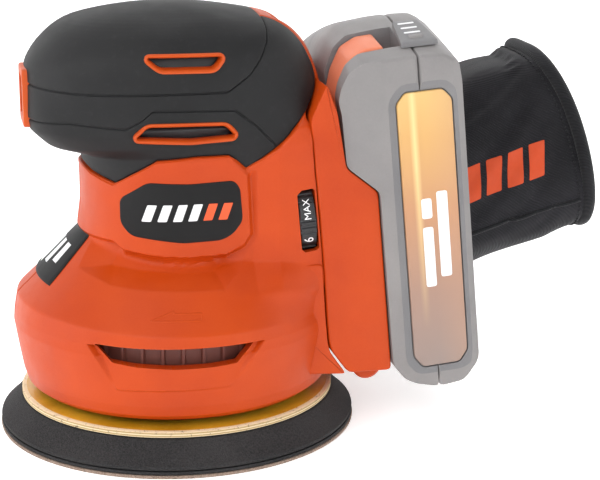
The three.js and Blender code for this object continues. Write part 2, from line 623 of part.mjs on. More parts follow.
function roundedLoop(halfWidth, low, high, radius, count) {
  const points = [];
  const corners = [[1, 1], [-1, 1], [-1, -1], [1, -1]];
  corners.forEach(([sy, sb], k) => {
    for (let i = 0; i < count; i += 1) {
      const angle = (k + i / (count - 1)) * (Math.PI / 2);
      const y = sy * (halfWidth - radius) + radius * Math.cos(angle);
      const b = (sb > 0 ? high - radius : low + radius) + radius * Math.sin(angle);
      points.push([y, b]);
    }
  });
  return points;
}

function bagRows(inset) {
  const neckRadius = 18.3 - inset;
  const steps = [[BAG.start, 0], [BAG.start + 6, 0], [BAG.start + 15, 0.85], [BAG.start + 24, 1], [130, 1],
    [BAG.end - 4 - inset, 1], [BAG.end - inset, 0.9]];
  const full = roundedLoop(BAG.halfWidth - inset, BAG.low + inset, BAG.high - inset, 14, 7);
  return steps.map(([a, f]) => full.map(([y, b], i) => {
    const angle = (i / full.length) * Math.PI * 2 + Math.PI / 28;
    const y2 = lerp(neckRadius * Math.cos(angle) + DUCT.y - BAG.y, y, f);
    const b2 = lerp(neckRadius * Math.sin(angle) + DUCT.b, b, f);
    return new THREE.Vector3(a, BAG.y + y2, b2);
  }));
}

// A closed loop of round section, such as the rolled piping at the end of the bag.
function hoop(loop, radius, around = 6) {
  const points = [];
  const faces = [];
  const count = loop.length;
  const centre = loop.reduce((sum, p) => sum.add(p), new THREE.Vector3()).divideScalar(count);
  loop.forEach((p) => {
    const out = p.clone().sub(centre).normalize();
    for (let k = 0; k < around; k += 1) {
      const angle = (k / around) * Math.PI * 2;
      const point = p.clone().addScaledVector(out, radius * Math.cos(angle));
      points.push(point.setX(point.x + radius * Math.sin(angle)));
    }
  });
  for (let i = 0; i < count; i += 1) {
    for (let k = 0; k < around; k += 1) {
      const next = ((i + 1) % count) * around;
      const [a, b] = [i * around + k, next + k];
      const [c, d] = [next + ((k + 1) % around), i * around + ((k + 1) % around)];
      faces.push(a, b, c, a, c, d);
    }
  }
  return facesToGeometry(points, faces);
}

function buildDuct() {
  const chamber = rod(57.3, -10, 60, 48);
  const tube = closedGrid(ductRings(DUCT.radius), ductRings(DUCT.bore), true);
  add('dust_duct', subtract(tube, chamber), 'black');
  const collar = ring(DUCT.radius + GAP, DUCT.radius + 1.5, 0, 13.4, 24).rotateY(Math.PI / 2);
  add('bag_collar', rising(collar.translate(70, DUCT.y, DUCT.b)), 'black');
}

function buildScrews() {
  SCREWS.forEach(([x, y, z], i) => {
    const screw = lathe([[0, -22], [1.6, -22], [1.6, -1.6], [3.1, -1.6], [3.1, 0.4], [0, 0.4]], 10);
    add(`housing_screw_${i + 1}`, screw.rotateX(-Math.PI / 2).translate(x, y, z), 'steel');
  });
}

function buildBag() {
  const outer = bagRows(0);
  const inner = bagRows(BAG.skin);
  const cap = (rows) => {
    const last = rows[rows.length - 1];
    const centre = last.reduce((sum, p) => sum.add(p), new THREE.Vector3()).divideScalar(last.length);
    return [...rows, last.map((p) => p.clone().lerp(centre, 0.5)), last.map(() => centre.clone())];
  };
  add('dust_bag', rising(closedGrid(cap(outer), cap(inner), true)), 'fabric');
  const loop = roundedLoop(BAG.halfWidth - 2.4, BAG.low + 2.4, BAG.high - 2.4, 12, 6);
  const end = loop.map(([y, b]) => new THREE.Vector3(BAG.end + 2.4, BAG.y + y, b));
  add('bag_piping', rising(hoop(end, 2.1)), 'fabric');
}

buildHousing();
buildGrip();
buildHousingTrim();
buildRearHousing();
buildMotor();
buildFan();
buildCrank();
buildPad();
buildControls();
buildBattery();
buildDuct();
buildBag();
buildScrews();
export default sander;
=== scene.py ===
"""Cordless random orbit sander: fine meshes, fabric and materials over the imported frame.

Lengths are in millimetres while a shape is worked out, and scaled to metres when its mesh is made.
-X is the palm nose, +X the battery, -Y the side with the speed wheel, +Z up.
"""

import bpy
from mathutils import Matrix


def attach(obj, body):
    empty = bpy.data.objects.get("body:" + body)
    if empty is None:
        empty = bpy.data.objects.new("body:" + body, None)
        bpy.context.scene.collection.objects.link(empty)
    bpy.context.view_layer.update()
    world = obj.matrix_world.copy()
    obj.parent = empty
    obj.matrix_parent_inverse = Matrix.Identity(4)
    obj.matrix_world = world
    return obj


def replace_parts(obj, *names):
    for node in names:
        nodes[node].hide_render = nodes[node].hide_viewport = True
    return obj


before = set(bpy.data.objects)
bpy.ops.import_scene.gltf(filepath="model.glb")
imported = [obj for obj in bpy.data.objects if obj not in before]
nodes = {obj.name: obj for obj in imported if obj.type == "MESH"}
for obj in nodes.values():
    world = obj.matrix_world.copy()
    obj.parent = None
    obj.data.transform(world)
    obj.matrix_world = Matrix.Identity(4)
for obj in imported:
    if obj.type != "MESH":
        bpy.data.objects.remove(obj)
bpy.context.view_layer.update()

import math

import bmesh
import bpy
import numpy as np
from mathutils import Vector
from mathutils.bvhtree import BVHTree

MM = 0.001

# ---------------------------------------------------------------- driving dimensions
TILT = math.radians(5)  # the battery and its mount lean back
BAG_TILT = math.radians(17.5)  # the dust bag rises to the rear
EDGE = 0.55  # rounding of the panel edges
SKIN_GAP = 0.18  # half of the groove between two panels
SHELL_SINK = 2.2  # how far the panel edges turn in
PLATE_RINGS = 7  # loops of mesh between a thin plate's edge and its middle
BATTERY_HALF = 38.0
PARTING, CASE_GAP = 87.3, 0.1  # where the two battery cases meet, and half the joint between them
RIDGE, ROOF_DROP = 133.4, 9.0  # height of the battery's ridge, and how far its sides lie below it

# ---------------------------------------------------------------- outer skin of the tool
# One level a row: reach to the front, side and rear, squareness of the front and rear plan
# curves, and height at the front, side and rear.
LEVELS = np.array([
    (50, 50, 50, 2, 2, 16, 16, 16),
    (52.6, 52.6, 52.6, 2, 2, 18, 18, 18),
    (53.8, 53.8, 53.8, 2, 2, 21.8, 21.8, 21.8),
    (55.2, 55.2, 55.2, 2, 2, 30, 30, 30),
    (56.5, 56.5, 56.5, 2, 2, 38.5, 38.5, 38.5),
    (56.2, 56.2, 56.2, 2, 2, 42, 42, 42),
    (55, 55, 55, 2, 2, 48.6, 45.9, 44.7),
    (44, 44, 56, 2, 3, 59, 56, 52),
    (32.5, 33.6, 60, 2, 6, 70.5, 66, 60),
    (31, 33.6, 60, 2.2, 6, 80, 79, 78),
    (31, 33.8, 60, 2.2, 6, 92, 92, 92),
    (32, 34.6, 60, 2.2, 6, 98, 100, 100),
    (43.2, 35.4, 59, 2.4, 5, 100.9, 104, 104),
    (49.1, 36, 52, 2.5, 4, 106.5, 108, 108),
    (50.3, 36.4, 50.5, 2.5, 3.6, 111, 112, 113),
    (50, 36.4, 49.5, 2.5, 3.4, 117, 117, 118),
    (49.9, 36.4, 48.8, 2.5, 3, 122, 122, 123),
    (49.8, 36.2, 47.4, 2.5, 2.6, 127.6, 128, 128.5),
    (46.6, 35, 45, 2.4, 2.5, 133.2, 133.5, 134),
    (41.8, 31.6, 41, 2.3, 2.4, 138.4, 139, 138.7),
    (35.5, 26, 35.4, 2.2, 2.3, 142.8, 143, 142.2),
    (21, 15.5, 20.3, 2, 2, 145.9, 146, 145.1),
    (0, 0, 0, 2, 2, 147.1, 147.1, 147.1),
], float)
TOP = len(LEVELS) - 1.0
MID_GRIP = 15


def plan_curve(rows, cos, sin):
    """Reach and height of one level in the direction (cos, sin)."""
    front, side, rear, power_front, power_rear, z_front, z_side, z_rear = np.moveaxis(rows, -1, 0)
    ahead = cos < 0
    end = np.maximum(np.where(ahead, front, rear), 1e-6)
    power = np.where(ahead, power_front, power_rear)
    across = (np.abs(sin) / np.maximum(side, 1e-6)) ** power
    reach = ((np.abs(cos) / end) ** power + across) ** (-1 / power)
    return reach, z_side + (np.where(ahead, z_front, z_rear) - z_side) * cos**2


def faceted_skin(theta, t):
    low = np.clip(np.floor(t), 0, TOP - 1).astype(int)
    part = t - low
    cos, sin = np.cos(theta), np.sin(theta)
    r0, z0 = plan_curve(LEVELS[low], cos, sin)
    r1, z1 = plan_curve(LEVELS[low + 1], cos, sin)
    reach = r0 + (r1 - r0) * part
    domed = z1 - (z1 - z0) * (1 - part) ** 2
    z = np.where(low == TOP - 1, domed, z0 + (z1 - z0) * part)
    return np.stack([reach * cos, reach * sin, z], -1)


def smooth_skin(theta, t):
    """The skin with its level-to-level edges rounded: tight on the body, loose on the grip."""
    theta, t = np.broadcast_arrays(np.asarray(theta, float), np.asarray(t, float))
    soft = np.interp(t, [0, 11, 13.5, 15, TOP], [0.12, 0.16, 0.5, 0.75, 0.75])
    soft = np.minimum(soft, np.minimum(t, TOP - t))
    total = 0
    for shift, weight in zip(np.linspace(-1, 1, 7), (1, 6, 15, 20, 15, 6, 1)):
        total = total + weight / 64 * faceted_skin(theta, t + shift * soft)
    return total


# ---------------------------------------------------------------- outlines in the side view
def polygon_distance(outline, x, z):
    """Signed distance to an outline in the side view, positive inside."""
    points = np.asarray(outline, float)
    best = np.full(np.shape(x), 1e9)
    inside = np.zeros(np.shape(x), bool)
    for (ax, az), (bx, bz) in zip(points, np.roll(points, -1, axis=0)):
        ex, ez = bx - ax, bz - az
        along = np.clip(((x - ax) * ex + (z - az) * ez) / (ex * ex + ez * ez), 0, 1)
        best = np.minimum(best, np.hypot(x - ax - along * ex, z - az - along * ez))
        crosses = (az > z) != (bz > z)
        with np.errstate(divide="ignore", invalid="ignore"):
            at = ax + (z - az) * ex / ez
        inside ^= crosses & (x < at)
    return np.where(inside, best, -best)


def ramp(value, low, high):
    part = np.clip((value - low) / (high - low), 0, 1)
    return part * part * (3 - 2 * part)


BOSS = [(-60, 71), (-23.4, 70.6), (-20.8, 68.1), (-12.2, 66.8), (0, 65.9), (12.6, 66.6), (18.4, 69.5),
        (20.9, 73.5), (19.9, 93.8), (15, 99), (15, 110), (-60, 110)]
SCOOP = [(-35.5, 61.5), (-26.2, 58.5), (-16.9, 57.9), (-3.3, 57.3), (10.4, 57.2), (16.1, 61.7), (23.2, 72.6),
         (23, 95), (-27, 95), (-29, 71)]
CHIN = [(-36.7, 43.8), (-26.9, 27), (9.8, 27.6), (22.3, 42.4), (8, 80), (-20, 80)]
SLOT = [(-33.4, 42.7), (-27.7, 36.2), (-20, 35.3), (-8, 34.8), (4, 34.9), (12.3, 35.4), (18.4, 41.8),
        (10, 41.9), (-5.8, 41.9), (-19, 42.3)]
PLATE = [(-21.8, 86.3), (-13.3, 92.3), (0.8, 91.6), (14.9, 92.2), (17, 89.6), (17.9, 78.4), (14.5, 74),
         (10.6, 72.1), (-1.9, 71.7), (-18.7, 73.9), (-21.8, 77.9)]
UPPER_VENT = [(-13, 133.2), (12, 133), (9, 129.3), (-8.6, 129.5)]
LOWER_VENT = [(-13, 111), (12.6, 110.7), (15.8, 107.1), (0.8, 106.3), (-17.2, 107.4)]
FLANK = [(30, 25.6), (39, 23.4), (53.1, 22.6), (50.1, 26.9), (47.5, 30.7), (46.6, 34.4), (45.9, 42.6),
         (44.7, 62), (34, 62), (31, 44)]
DIAL_WINDOW = [(35.9, 87.6), (42, 88.3), (43.9, 67), (37.8, 66.2)]


def relief(points):
    """Raised and sunken areas of the lower body, in millimetres along its outward normal."""
    x, y, z = np.moveaxis(points, -1, 0)
    beside = ramp(np.abs(y), 8, 16)
    on_boss = ramp(polygon_distance(BOSS, x, z), -1.0, 0.8)
    hollow = np.clip(0.42 * polygon_distance(SCOOP, x, z), 0, 2.6)
    boss = 1.25 * on_boss
    scoop = -hollow * (1 - on_boss) * beside
    flank = 2.3 * np.clip((x - 21.5) / 8.5, 0, 1) * ramp(z, 50, 60) * ramp(112 - z, 0, 4)
    in_chin = ramp(polygon_distance(CHIN, x, z), 0, 0.9) * ramp(42.2 - z, -0.1, 0.3)
    chin = np.clip(0.8 - 0.3 * (z - 27), -2.2, 0.8) * in_chin * beside
    return boss + scoop + flank + chin


def with_normals(theta, t, raised=True):
    """Skin points and outward normals; raised adds the relief of the lower body."""
    step = 0.02
    upper = np.minimum(t + step, TOP - 1e-3)
    along = smooth_skin(theta, upper) - smooth_skin(theta, np.maximum(t - step, 0))
    around = smooth_skin(theta + 0.01, t) - smooth_skin(theta - 0.01, t)
    normal = np.cross(around, along)
    length = np.linalg.norm(normal, axis=-1, keepdims=True)
    normal = np.where(length > 1e-9, normal / np.maximum(length, 1e-9), (0, 0, 1))
    points = smooth_skin(theta, t)
    if raised:
        points = points + normal * relief(points)[..., None]
    return points, normal


# ---------------------------------------------------------------- seams
SHELL_END = np.array([(21, 55), (23, 53.5), (27, 50.2), (31, 47.5), (34.5, 46.7), (42.7, 46), (65.4, 44.6),
                      (89, 42.5), (111, 40.2)])
SOFT_EDGE = np.array([(-60, 95.9), (-34, 95.9), (-29, 92.6), (-22.8, 90.7), (-17.9, 94.3), (-9.9, 99.4),
                      (3, 100.4), (13.5, 100.5), (16.4, 98.5), (19.2, 95.9), (24.8, 99.1), (29.3, 102.4),
                      (33.6, 106.4), (37.6, 110.6), (40.3, 113.5), (43.6, 118.3), (46, 123.2), (60, 150)])
BAND_LOW = np.array([(-60, 110.5), (-50, 110.5), (-37.6, 111.9), (-20, 110.3), (-14.7, 113.2), (-11.4, 116.2),
                     (15.5, 115.6), (23.1, 109.6), (29.6, 102.7), (33.6, 106.5), (37.6, 110.7), (40.3, 113.6),
                     (43.6, 118.4), (46, 123.3), (60, 150.1)])
PALM_LOW = 121.5
PALM_REAR = np.array([(121.5, 13.2), (126.6, 20.6), (131.7, 24.9), (136.5, 27.6), (139.8, 28.6),
                      (147.2, 28.6)])


def above_soft_edge(p):
    return p[..., 2] - np.interp(p[..., 0], *SOFT_EDGE.T)


def above_band_low(p):
    return p[..., 2] - np.interp(p[..., 0], *BAND_LOW.T)


def inside_palm(p):
    low = PALM_LOW + 0.8 * ramp(-p[..., 0], 30, 50)
    return np.minimum(p[..., 2] - low, np.interp(p[..., 2], *PALM_REAR.T) - p[..., 0])


def crossing(test, angle_at, low, high, count):
    """The level, column by column, where a seam test changes sign."""
    low = np.full(count, float(low))
    high = np.full(count, float(high))
    for _ in range(26):
        mid = (low + high) / 2
        above = test(smooth_skin(angle_at(mid), mid)) > 0
        high = np.where(above, mid, high)
        low = np.where(above, low, mid)
    return (low + high) / 2


def rear_angle(t):
    """Where a half of the tool ends at the rear: at the seam low down, behind the grip higher up."""
    t = np.asarray(t, float)
    low = np.full(t.shape, math.radians(-100))
    high = np.full(t.shape, math.radians(-15))
    for _ in range(22):
        mid = (low + high) / 2
        spot = smooth_skin(mid, t)
        beyond = spot[..., 0] > np.interp(spot[..., 2], *SHELL_END.T)
        high = np.where(beyond, mid, high)
        low = np.where(beyond, low, mid)
    closing = ramp(t, MID_GRIP - 1.0, MID_GRIP + 2.0)
    return -low + (math.radians(21.5) + low) * closing


# ---------------------------------------------------------------- mesh helpers
def make(name, points, faces, material, body="tool", sharp=38):
    mesh = bpy.data.meshes.new(name)
    mesh.from_pydata((np.asarray(points, float) * MM).tolist(), [], [list(map(int, f)) for f in faces])
    mesh.validate()
    mesh.materials.append(material)
    piece = bpy.data.objects.new(name, mesh)
    bpy.context.scene.collection.objects.link(piece)
    mesh.shade_smooth()
    mesh.set_sharp_from_angle(angle=math.radians(sharp))
    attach(piece, body)
    return piece


def grid_faces(rows, columns, wrap=False, flip=False):
    r, c = np.meshgrid(np.arange(rows - 1), np.arange(columns if wrap else columns - 1), indexing="ij")
    nxt = (c + 1) % columns
    quads = np.stack([r * columns + c, r * columns + nxt, (r + 1) * columns + nxt, (r + 1) * columns + c], -1)
    quads = quads.reshape(-1, 4)
    return quads[:, ::-1] if flip else quads


def mirror(points):
    return np.asarray(points) * (1, -1, 1)


def edge_spread(count, size, fine):
    """Positions 0 to 1 across a panel of that size, with extra ones close to both edges."""
    near = np.array([0, 0.0, 0.25, 0.6, 1.0]) * fine / size
    near[1] = 0.04 * fine / size
    middle = np.linspace(near[-1], 1 - near[-1], count)
    return np.concatenate([near[:-1], middle, 1 - near[:-1][::-1]])


def edge_drop(distance):
    """How far a rounded edge falls below the surface at a distance from the rim."""
    short = np.clip(EDGE - distance, 0, EDGE)
    return EDGE - np.sqrt(np.maximum(EDGE**2 - short**2, 0))


def panel_grid(columns, angle_for, low_test, high_test, span, rows, sides=(True, True), raised=False,
               wrap=False):
    """A panel of the skin between two seams: points with rounded, turned-in edges."""
    count = len(columns)
    angle_at = lambda t: angle_for(columns, t)
    low, high = np.full(count, float(span[0])), np.full(count, float(span[1]))
    if low_test is not None:
        low = crossing(low_test, angle_at, *span, count)
    if high_test is not None:
        high = crossing(high_test, angle_at, *span, count)
    fine = EDGE * 1.3
    f = edge_spread(rows, 30, fine)[:, None]
    t = low + (high - low) * f
    theta = angle_for(columns, t)
    base = smooth_skin(theta, t)
    steps = np.linalg.norm(np.diff(base, axis=0), axis=-1)
    from_low = np.vstack([np.zeros(count), np.cumsum(steps, axis=0)])
    from_high = from_low[-1] - from_low
    depth = np.zeros_like(t)
    if low_test is not None:
        depth += edge_drop(from_low - SKIN_GAP)
    if high_test is not None:
        depth += edge_drop(from_high - SKIN_GAP)
    if not wrap:
        across = np.linalg.norm(np.diff(base, axis=1), axis=-1)
        from_left = np.hstack([np.zeros((len(t), 1)), np.cumsum(across, axis=1)])
        from_right = from_left[:, -1:] - from_left
        depth += sides[0] * edge_drop(from_left - SKIN_GAP)
        depth += sides[1] * edge_drop(from_right - SKIN_GAP)
    points, normal = with_normals(theta, t, raised)
    return points - normal * np.minimum(depth, EDGE)[..., None], normal


def turned_in(points, normal, wrap=False, by=SHELL_SINK):
    """Adds a border that turns in under the panel, so that a groove looks deep."""
    inner = points - normal * by
    rows = [inner[:1], points, inner[-1:]]
    grid = np.vstack(rows)
    if wrap:
        return grid
    side = np.vstack([inner[:1], inner, inner[-1:]])
    return np.hstack([side[:, :1], grid, side[:, -1:]])


def skin_panel(name, material, columns, angle_for, low_test, high_test, span, rows, wrap=False,
               raised=False, mirrored=False, sides=(True, True)):
    points, normal = panel_grid(columns, angle_for, low_test, high_test, span, rows, sides, raised, wrap)
    grid = turned_in(points, normal, wrap)
    flat = grid.reshape(-1, 3)
    faces = grid_faces(grid.shape[0], grid.shape[1], wrap, flip=mirrored)
    return make(name, mirror(flat) if mirrored else flat, faces, material)


def cut_opening(piece, outline, depth, side=-1):
    """Opens an outline through a panel, snaps the rim to it and turns the rim in."""
    mesh = piece.data
    outline = np.asarray(outline, float)
    work = bmesh.new()
    work.from_mesh(mesh)
    reach = opening_reach(work, outline, side)
    gone = [f for f in work.faces if all(reach[v.index] > 0 for v in f.verts)]
    bmesh.ops.delete(work, geom=gone, context="FACES")
    work.verts.index_update()
    reach = opening_reach(work, outline, side)
    rim = [e for e in work.edges if len(e.link_faces) == 1 and all(reach[v.index] > -2.5 for v in e.verts)]
    for vert in {v for e in rim for v in e.verts}:
        near = nearest_on(outline, np.array((vert.co.x, vert.co.z)) / MM)
        vert.co.x, vert.co.z = near[0] * MM, near[1] * MM
    made = bmesh.ops.extrude_edge_only(work, edges=rim)["geom"]
    for vert in [g for g in made if isinstance(g, bmesh.types.BMVert)]:
        vert.co.y -= side * depth * MM
    work.to_mesh(mesh)
    work.free()
    mesh.set_sharp_from_angle(angle=math.radians(38))
    return piece


def opening_reach(work, outline, side):
    """Signed distance of each vertex into the outline, far outside for the other side of the tool."""
    place = np.array([v.co for v in work.verts]) / MM
    reach = polygon_distance(outline, place[:, 0], place[:, 2])
    return np.where(place[:, 1] * side > 15, reach, -99)


def nearest_on(outline, at):
    """The closest point of a closed outline."""
    edge = np.roll(outline, -1, axis=0) - outline
    along = np.clip(np.sum((at - outline) * edge, 1) / np.maximum(np.sum(edge * edge, 1), 1e-12), 0, 1)
    spots = outline + along[:, None] * edge
    return spots[np.argmin(np.hypot(*(spots - at).T))]


def rounded(outline, radius, step=0.5):
    """An outline resampled with rounded corners."""
    points = np.asarray(outline, float)
    result = []
    for i, corner in enumerate(points):
        before, after = points[i - 1] - corner, points[(i + 1) % len(points)] - corner
        reach = min(radius, 0.45 * np.hypot(*before), 0.45 * np.hypot(*after))
        start = corner + before / np.hypot(*before) * reach
        end = corner + after / np.hypot(*after) * reach
        turns = max(3, int(reach * 2 / step))
        for f in np.linspace(0, 1, turns):
            result.append((1 - f) ** 2 * start + 2 * f * (1 - f) * corner + f**2 * end)
    dense = []
    for a, b in zip(result, result[1:] + result[:1]):
        pieces = max(1, int(np.hypot(*(b - a)) / step))
        dense += [a + (b - a) * k / pieces for k in range(pieces)]
    return np.array(dense)


def grown(loop, by):
    """A resampled outline moved outward."""
    ahead = np.roll(loop, -1, axis=0) - np.roll(loop, 1, axis=0)
    normal = np.stack([ahead[:, 1], -ahead[:, 0]], -1)
    normal /= np.maximum(np.linalg.norm(normal, axis=1, keepdims=True), 1e-9)
    area = np.sum(loop[:, 0] * np.roll(loop[:, 1], -1) - np.roll(loop[:, 0], -1) * loop[:, 1])
    return loop + normal * by * (1 if area > 0 else -1)


# ---------------------------------------------------------------- surface lookup from the side view
class SideView:
    """Depth of the raised skin seen square from the side."""

    def __init__(self):
        theta = np.radians(np.linspace(-200, -25, 320))
        t = np.linspace(0.2, 20.5, 480)
        a, b = np.meshgrid(theta, t, indexing="ij")
        points = with_normals(a, b)[0].reshape(-1, 3)
        self.tree = BVHTree.FromPolygons(points.tolist(), grid_faces(320, 480).tolist())

    def depth(self, x, z):
        """Outward distance from the centre plane, at points of the side view."""
        hits = [self.tree.ray_cast((a, -100, b), (0, 1, 0))[0] for a, b in zip(np.ravel(x), np.ravel(z))]
        return np.array([-hit[1] for hit in hits]).reshape(np.shape(x))


side_view = SideView()


def rim_piece(name, outline, profile, material, mirrored):
    """A frame round an outline. The profile lists (growth, lift above the surface)."""
    loops = []
    for growth, lift in profile:
        loop = grown(outline, growth)
        y = -(side_view.depth(loop[:, 0], loop[:, 1]) + lift)
        loops.append(np.stack([loop[:, 0], y, loop[:, 1]], -1))
    rows = loops + loops[:1]
    points = np.concatenate(rows)
    faces = grid_faces(len(rows), len(outline), wrap=True, flip=not mirrored)
    return make(name, mirror(points) if mirrored else points, faces, material)


def plate_piece(name, outline, lift, bevel, material, mirrored, sink=1.2):
    """A thin plate that follows the surface, with a rounded edge."""
    centre = outline.mean(axis=0)
    loops, lifts = [grown(outline, 0), grown(outline, 0)], [lift - sink, lift - bevel]
    loops.append(grown(outline, -0.3 * bevel))
    lifts.append(lift - 0.3 * bevel)
    inner = grown(outline, -bevel)
    for f in np.linspace(1, 0.02, PLATE_RINGS):
        loops.append(centre + (inner - centre) * f)
        lifts.append(lift)
    points = []
    for loop, up in zip(loops, lifts):
        y = -(side_view.depth(loop[:, 0], loop[:, 1]) + up)
        points.append(np.stack([loop[:, 0], y, loop[:, 1]], -1))
    count = len(outline)
    flat = np.concatenate(points)
    faces = list(grid_faces(len(loops), count, wrap=True, flip=not mirrored))
    faces.append(list(range((len(loops) - 1) * count, len(loops) * count))[::1 if mirrored else -1])
    return make(name, mirror(flat) if mirrored else flat, faces, material)


# ---------------------------------------------------------------- materials
class Shader:
    """A small builder for node materials, in object space."""

    def __init__(self, name):
        self.material = bpy.data.materials.new(name)
        self.material.use_nodes = True
        self.tree = self.material.node_tree
        self.surface = self.tree.nodes["Principled BSDF"]
        self.space = self.tree.nodes.new("ShaderNodeTexCoord").outputs["Object"]

    def node(self, kind, inputs=(), **settings):
        made = self.tree.nodes.new(kind)
        for key, value in settings.items():
            setattr(made, key, value)
        for key, value in dict(inputs).items():
            if isinstance(value, bpy.types.NodeSocket):
                self.tree.links.new(value, made.inputs[key])
            else:
                made.inputs[key].default_value = value
        return made

    def noise(self, scale, detail=4.0, rough=0.55, vector=None, distortion=0.0):
        settings = {"Vector": vector or self.space, "Scale": scale, "Detail": detail, "Roughness": rough,
                    "Distortion": distortion}
        return self.node("ShaderNodeTexNoise", settings).outputs["Fac"]

    def spread(self, value, low, high, start=0.3, end=0.7):
        settings = {"Value": value, "From Min": start, "From Max": end, "To Min": low, "To Max": high}
        return self.node("ShaderNodeMapRange", settings).outputs["Result"]

    def mix(self, factor, first, second, blend="MIX"):
        made = self.node("ShaderNodeMix", data_type="RGBA", blend_type=blend)
        for socket, value in ((0, factor), (6, first), (7, second)):
            if isinstance(value, bpy.types.NodeSocket):
                self.tree.links.new(value, made.inputs[socket])
            else:
                made.inputs[socket].default_value = value
        return made.outputs[2]

    def math(self, kind, first, second=0.0):
        return self.node("ShaderNodeMath", {0: first, 1: second}, operation=kind).outputs[0]

    def set(self, **values):
        for key, value in values.items():
            socket = self.surface.inputs[key.replace("_", " ")]
            if isinstance(value, bpy.types.NodeSocket):
                self.tree.links.new(value, socket)
            else:
                socket.default_value = value
        return self

    def bump(self, *layers):
        """Each layer is (height, distance in metres, strength)."""
        normal = None
        for height, distance, strength in layers:
            settings = {"Height": height, "Distance": distance, "Strength": strength}
            if normal is not None:
                settings["Normal"] = normal
            normal = self.node("ShaderNodeBump", settings).outputs["Normal"]
        self.tree.links.new(normal, self.surface.inputs["Normal"])
        return self

    def edge_wear(self, size=0.0006):
        """Near 1 on outward edges and corners, by comparing a rounded normal with the true one."""
        rounded_normal = self.node("ShaderNodeBevel", {"Radius": size}, samples=4).outputs["Normal"]
        plain = self.node("ShaderNodeNewGeometry").outputs["Normal"]
        dot = self.node("ShaderNodeVectorMath", {0: rounded_normal, 1: plain}, operation="DOT_PRODUCT")
        return self.spread(dot.outputs["Value"], 1.0, 0.0, 0.75, 0.985)


def rgb(red, green, blue):
    """A colour given as display values from 0 to 255."""
    parts = np.array((red, green, blue)) / 255
    linear = [v / 12.92 if v <= 10 / 255 else ((v + 0.055) / 1.055) ** 2.4 for v in parts.tolist()]
    return (*linear, 1.0)


def moulded(name, colour, shade, light, rough=0.42, grain=3200, depth=0.00004, specular=0.28):
    """Spark-textured moulded plastic: fine grain, faint flow clouds and slightly shinier worn edges."""
    s = Shader(name)
    cloud = s.spread(s.noise(28, 3), 0, 1, 0.35, 0.65)
    base = s.mix(cloud, shade, colour)
    speck = s.spread(s.noise(grain * 0.5, 2), 0, 1, 0.3, 0.7)
    base = s.mix(s.math("MULTIPLY", speck, 0.06), base, light)
    wear = s.math("MULTIPLY", s.edge_wear(), s.spread(s.noise(90, 4), 0.1, 0.8))
    base = s.mix(s.math("MULTIPLY", wear, 0.45), base, light)
    roughness = s.math("SUBTRACT", s.spread(s.noise(140, 5), rough - 0.05, rough + 0.08),
                       s.math("MULTIPLY", wear, 0.12))
    s.set(Base_Color=base, Roughness=roughness, Specular_IOR_Level=specular)
    s.bump((s.noise(grain, 3, 0.6), depth, 0.35), (s.noise(320, 2), 0.00005, 0.1))
    return s.material


def soft_touch(name, colour, shade, light):
    """Soft overmould: matt, with a fine stipple, scattered dust and polish where it is held."""
    s = Shader(name)
    cloud = s.spread(s.noise(22, 4, distortion=0.4), 0, 1, 0.35, 0.68)
    base = s.mix(cloud, shade, colour)
    dust = s.spread(s.noise(420, 5, 0.7), 0, 0.22, 0.55, 0.75)
    base = s.mix(dust, base, light)
    wear = s.math("MULTIPLY", s.edge_wear(0.0009), 0.35)
    base = s.mix(wear, base, light)
    s.set(Base_Color=base, Roughness=s.spread(s.noise(35, 4), 0.5, 0.66), Specular_IOR_Level=0.26)
    s.bump((s.noise(2300, 2, 0.5), 0.00005, 0.4), (s.noise(260, 3), 0.00006, 0.12))
    return s.material


def plain_black(name, rough=0.4):
    s = Shader(name)
    base = s.mix(s.spread(s.noise(60, 4), 0, 1), rgb(24, 24, 26), rgb(38, 38, 41))
    s.set(Base_Color=base, Roughness=s.spread(s.noise(180, 4), rough - 0.05, rough + 0.1))
    s.bump((s.noise(2600, 2), 0.00003, 0.3))
    return s.material


def gold_top(name):
    """Gold lacquer on the pad's plate, rubbed and cloudy."""
    s = Shader(name)
    cloud = s.spread(s.noise(40, 5, distortion=0.6), 0, 1, 0.35, 0.7)
    base = s.mix(cloud, rgb(178, 128, 20), rgb(214, 160, 40))
    scuff = s.spread(s.noise(700, 4), 0, 0.35, 0.6, 0.75)
    s.set(Base_Color=s.mix(scuff, base, rgb(232, 200, 120)), Roughness=s.spread(s.noise(90, 4), 0.28, 0.48))
    s.set(Specular_IOR_Level=0.5, Coat_Weight=0.2)
    s.bump((s.noise(900, 3), 0.00004, 0.25))
    return s.material


def layered_edge(name):
    """Cut edge of the laminated plate: tan fibre in thin level layers with dark specks."""
    s = Shader(name)
    spots = s.node("ShaderNodeSeparateXYZ", {"Vector": s.space})
    height = s.math("MULTIPLY", spots.outputs["Z"], 7200.0)
    wobble = s.math("ADD", height, s.math("MULTIPLY", s.noise(160, 3), 1.4))
    layer = s.spread(s.math("SINE", wobble), 0, 1, -0.6, 0.8)
    base = s.mix(layer, rgb(176, 148, 100), rgb(232, 214, 178))
    speck = s.spread(s.noise(620, 4, 0.85), 0, 0.9, 0.58, 0.66)
    s.set(Base_Color=s.mix(speck, base, rgb(60, 48, 34)), Roughness=0.85)
    s.bump((s.noise(900, 4), 0.0002, 0.5), (layer, 0.00012, 0.4))
    return s.material


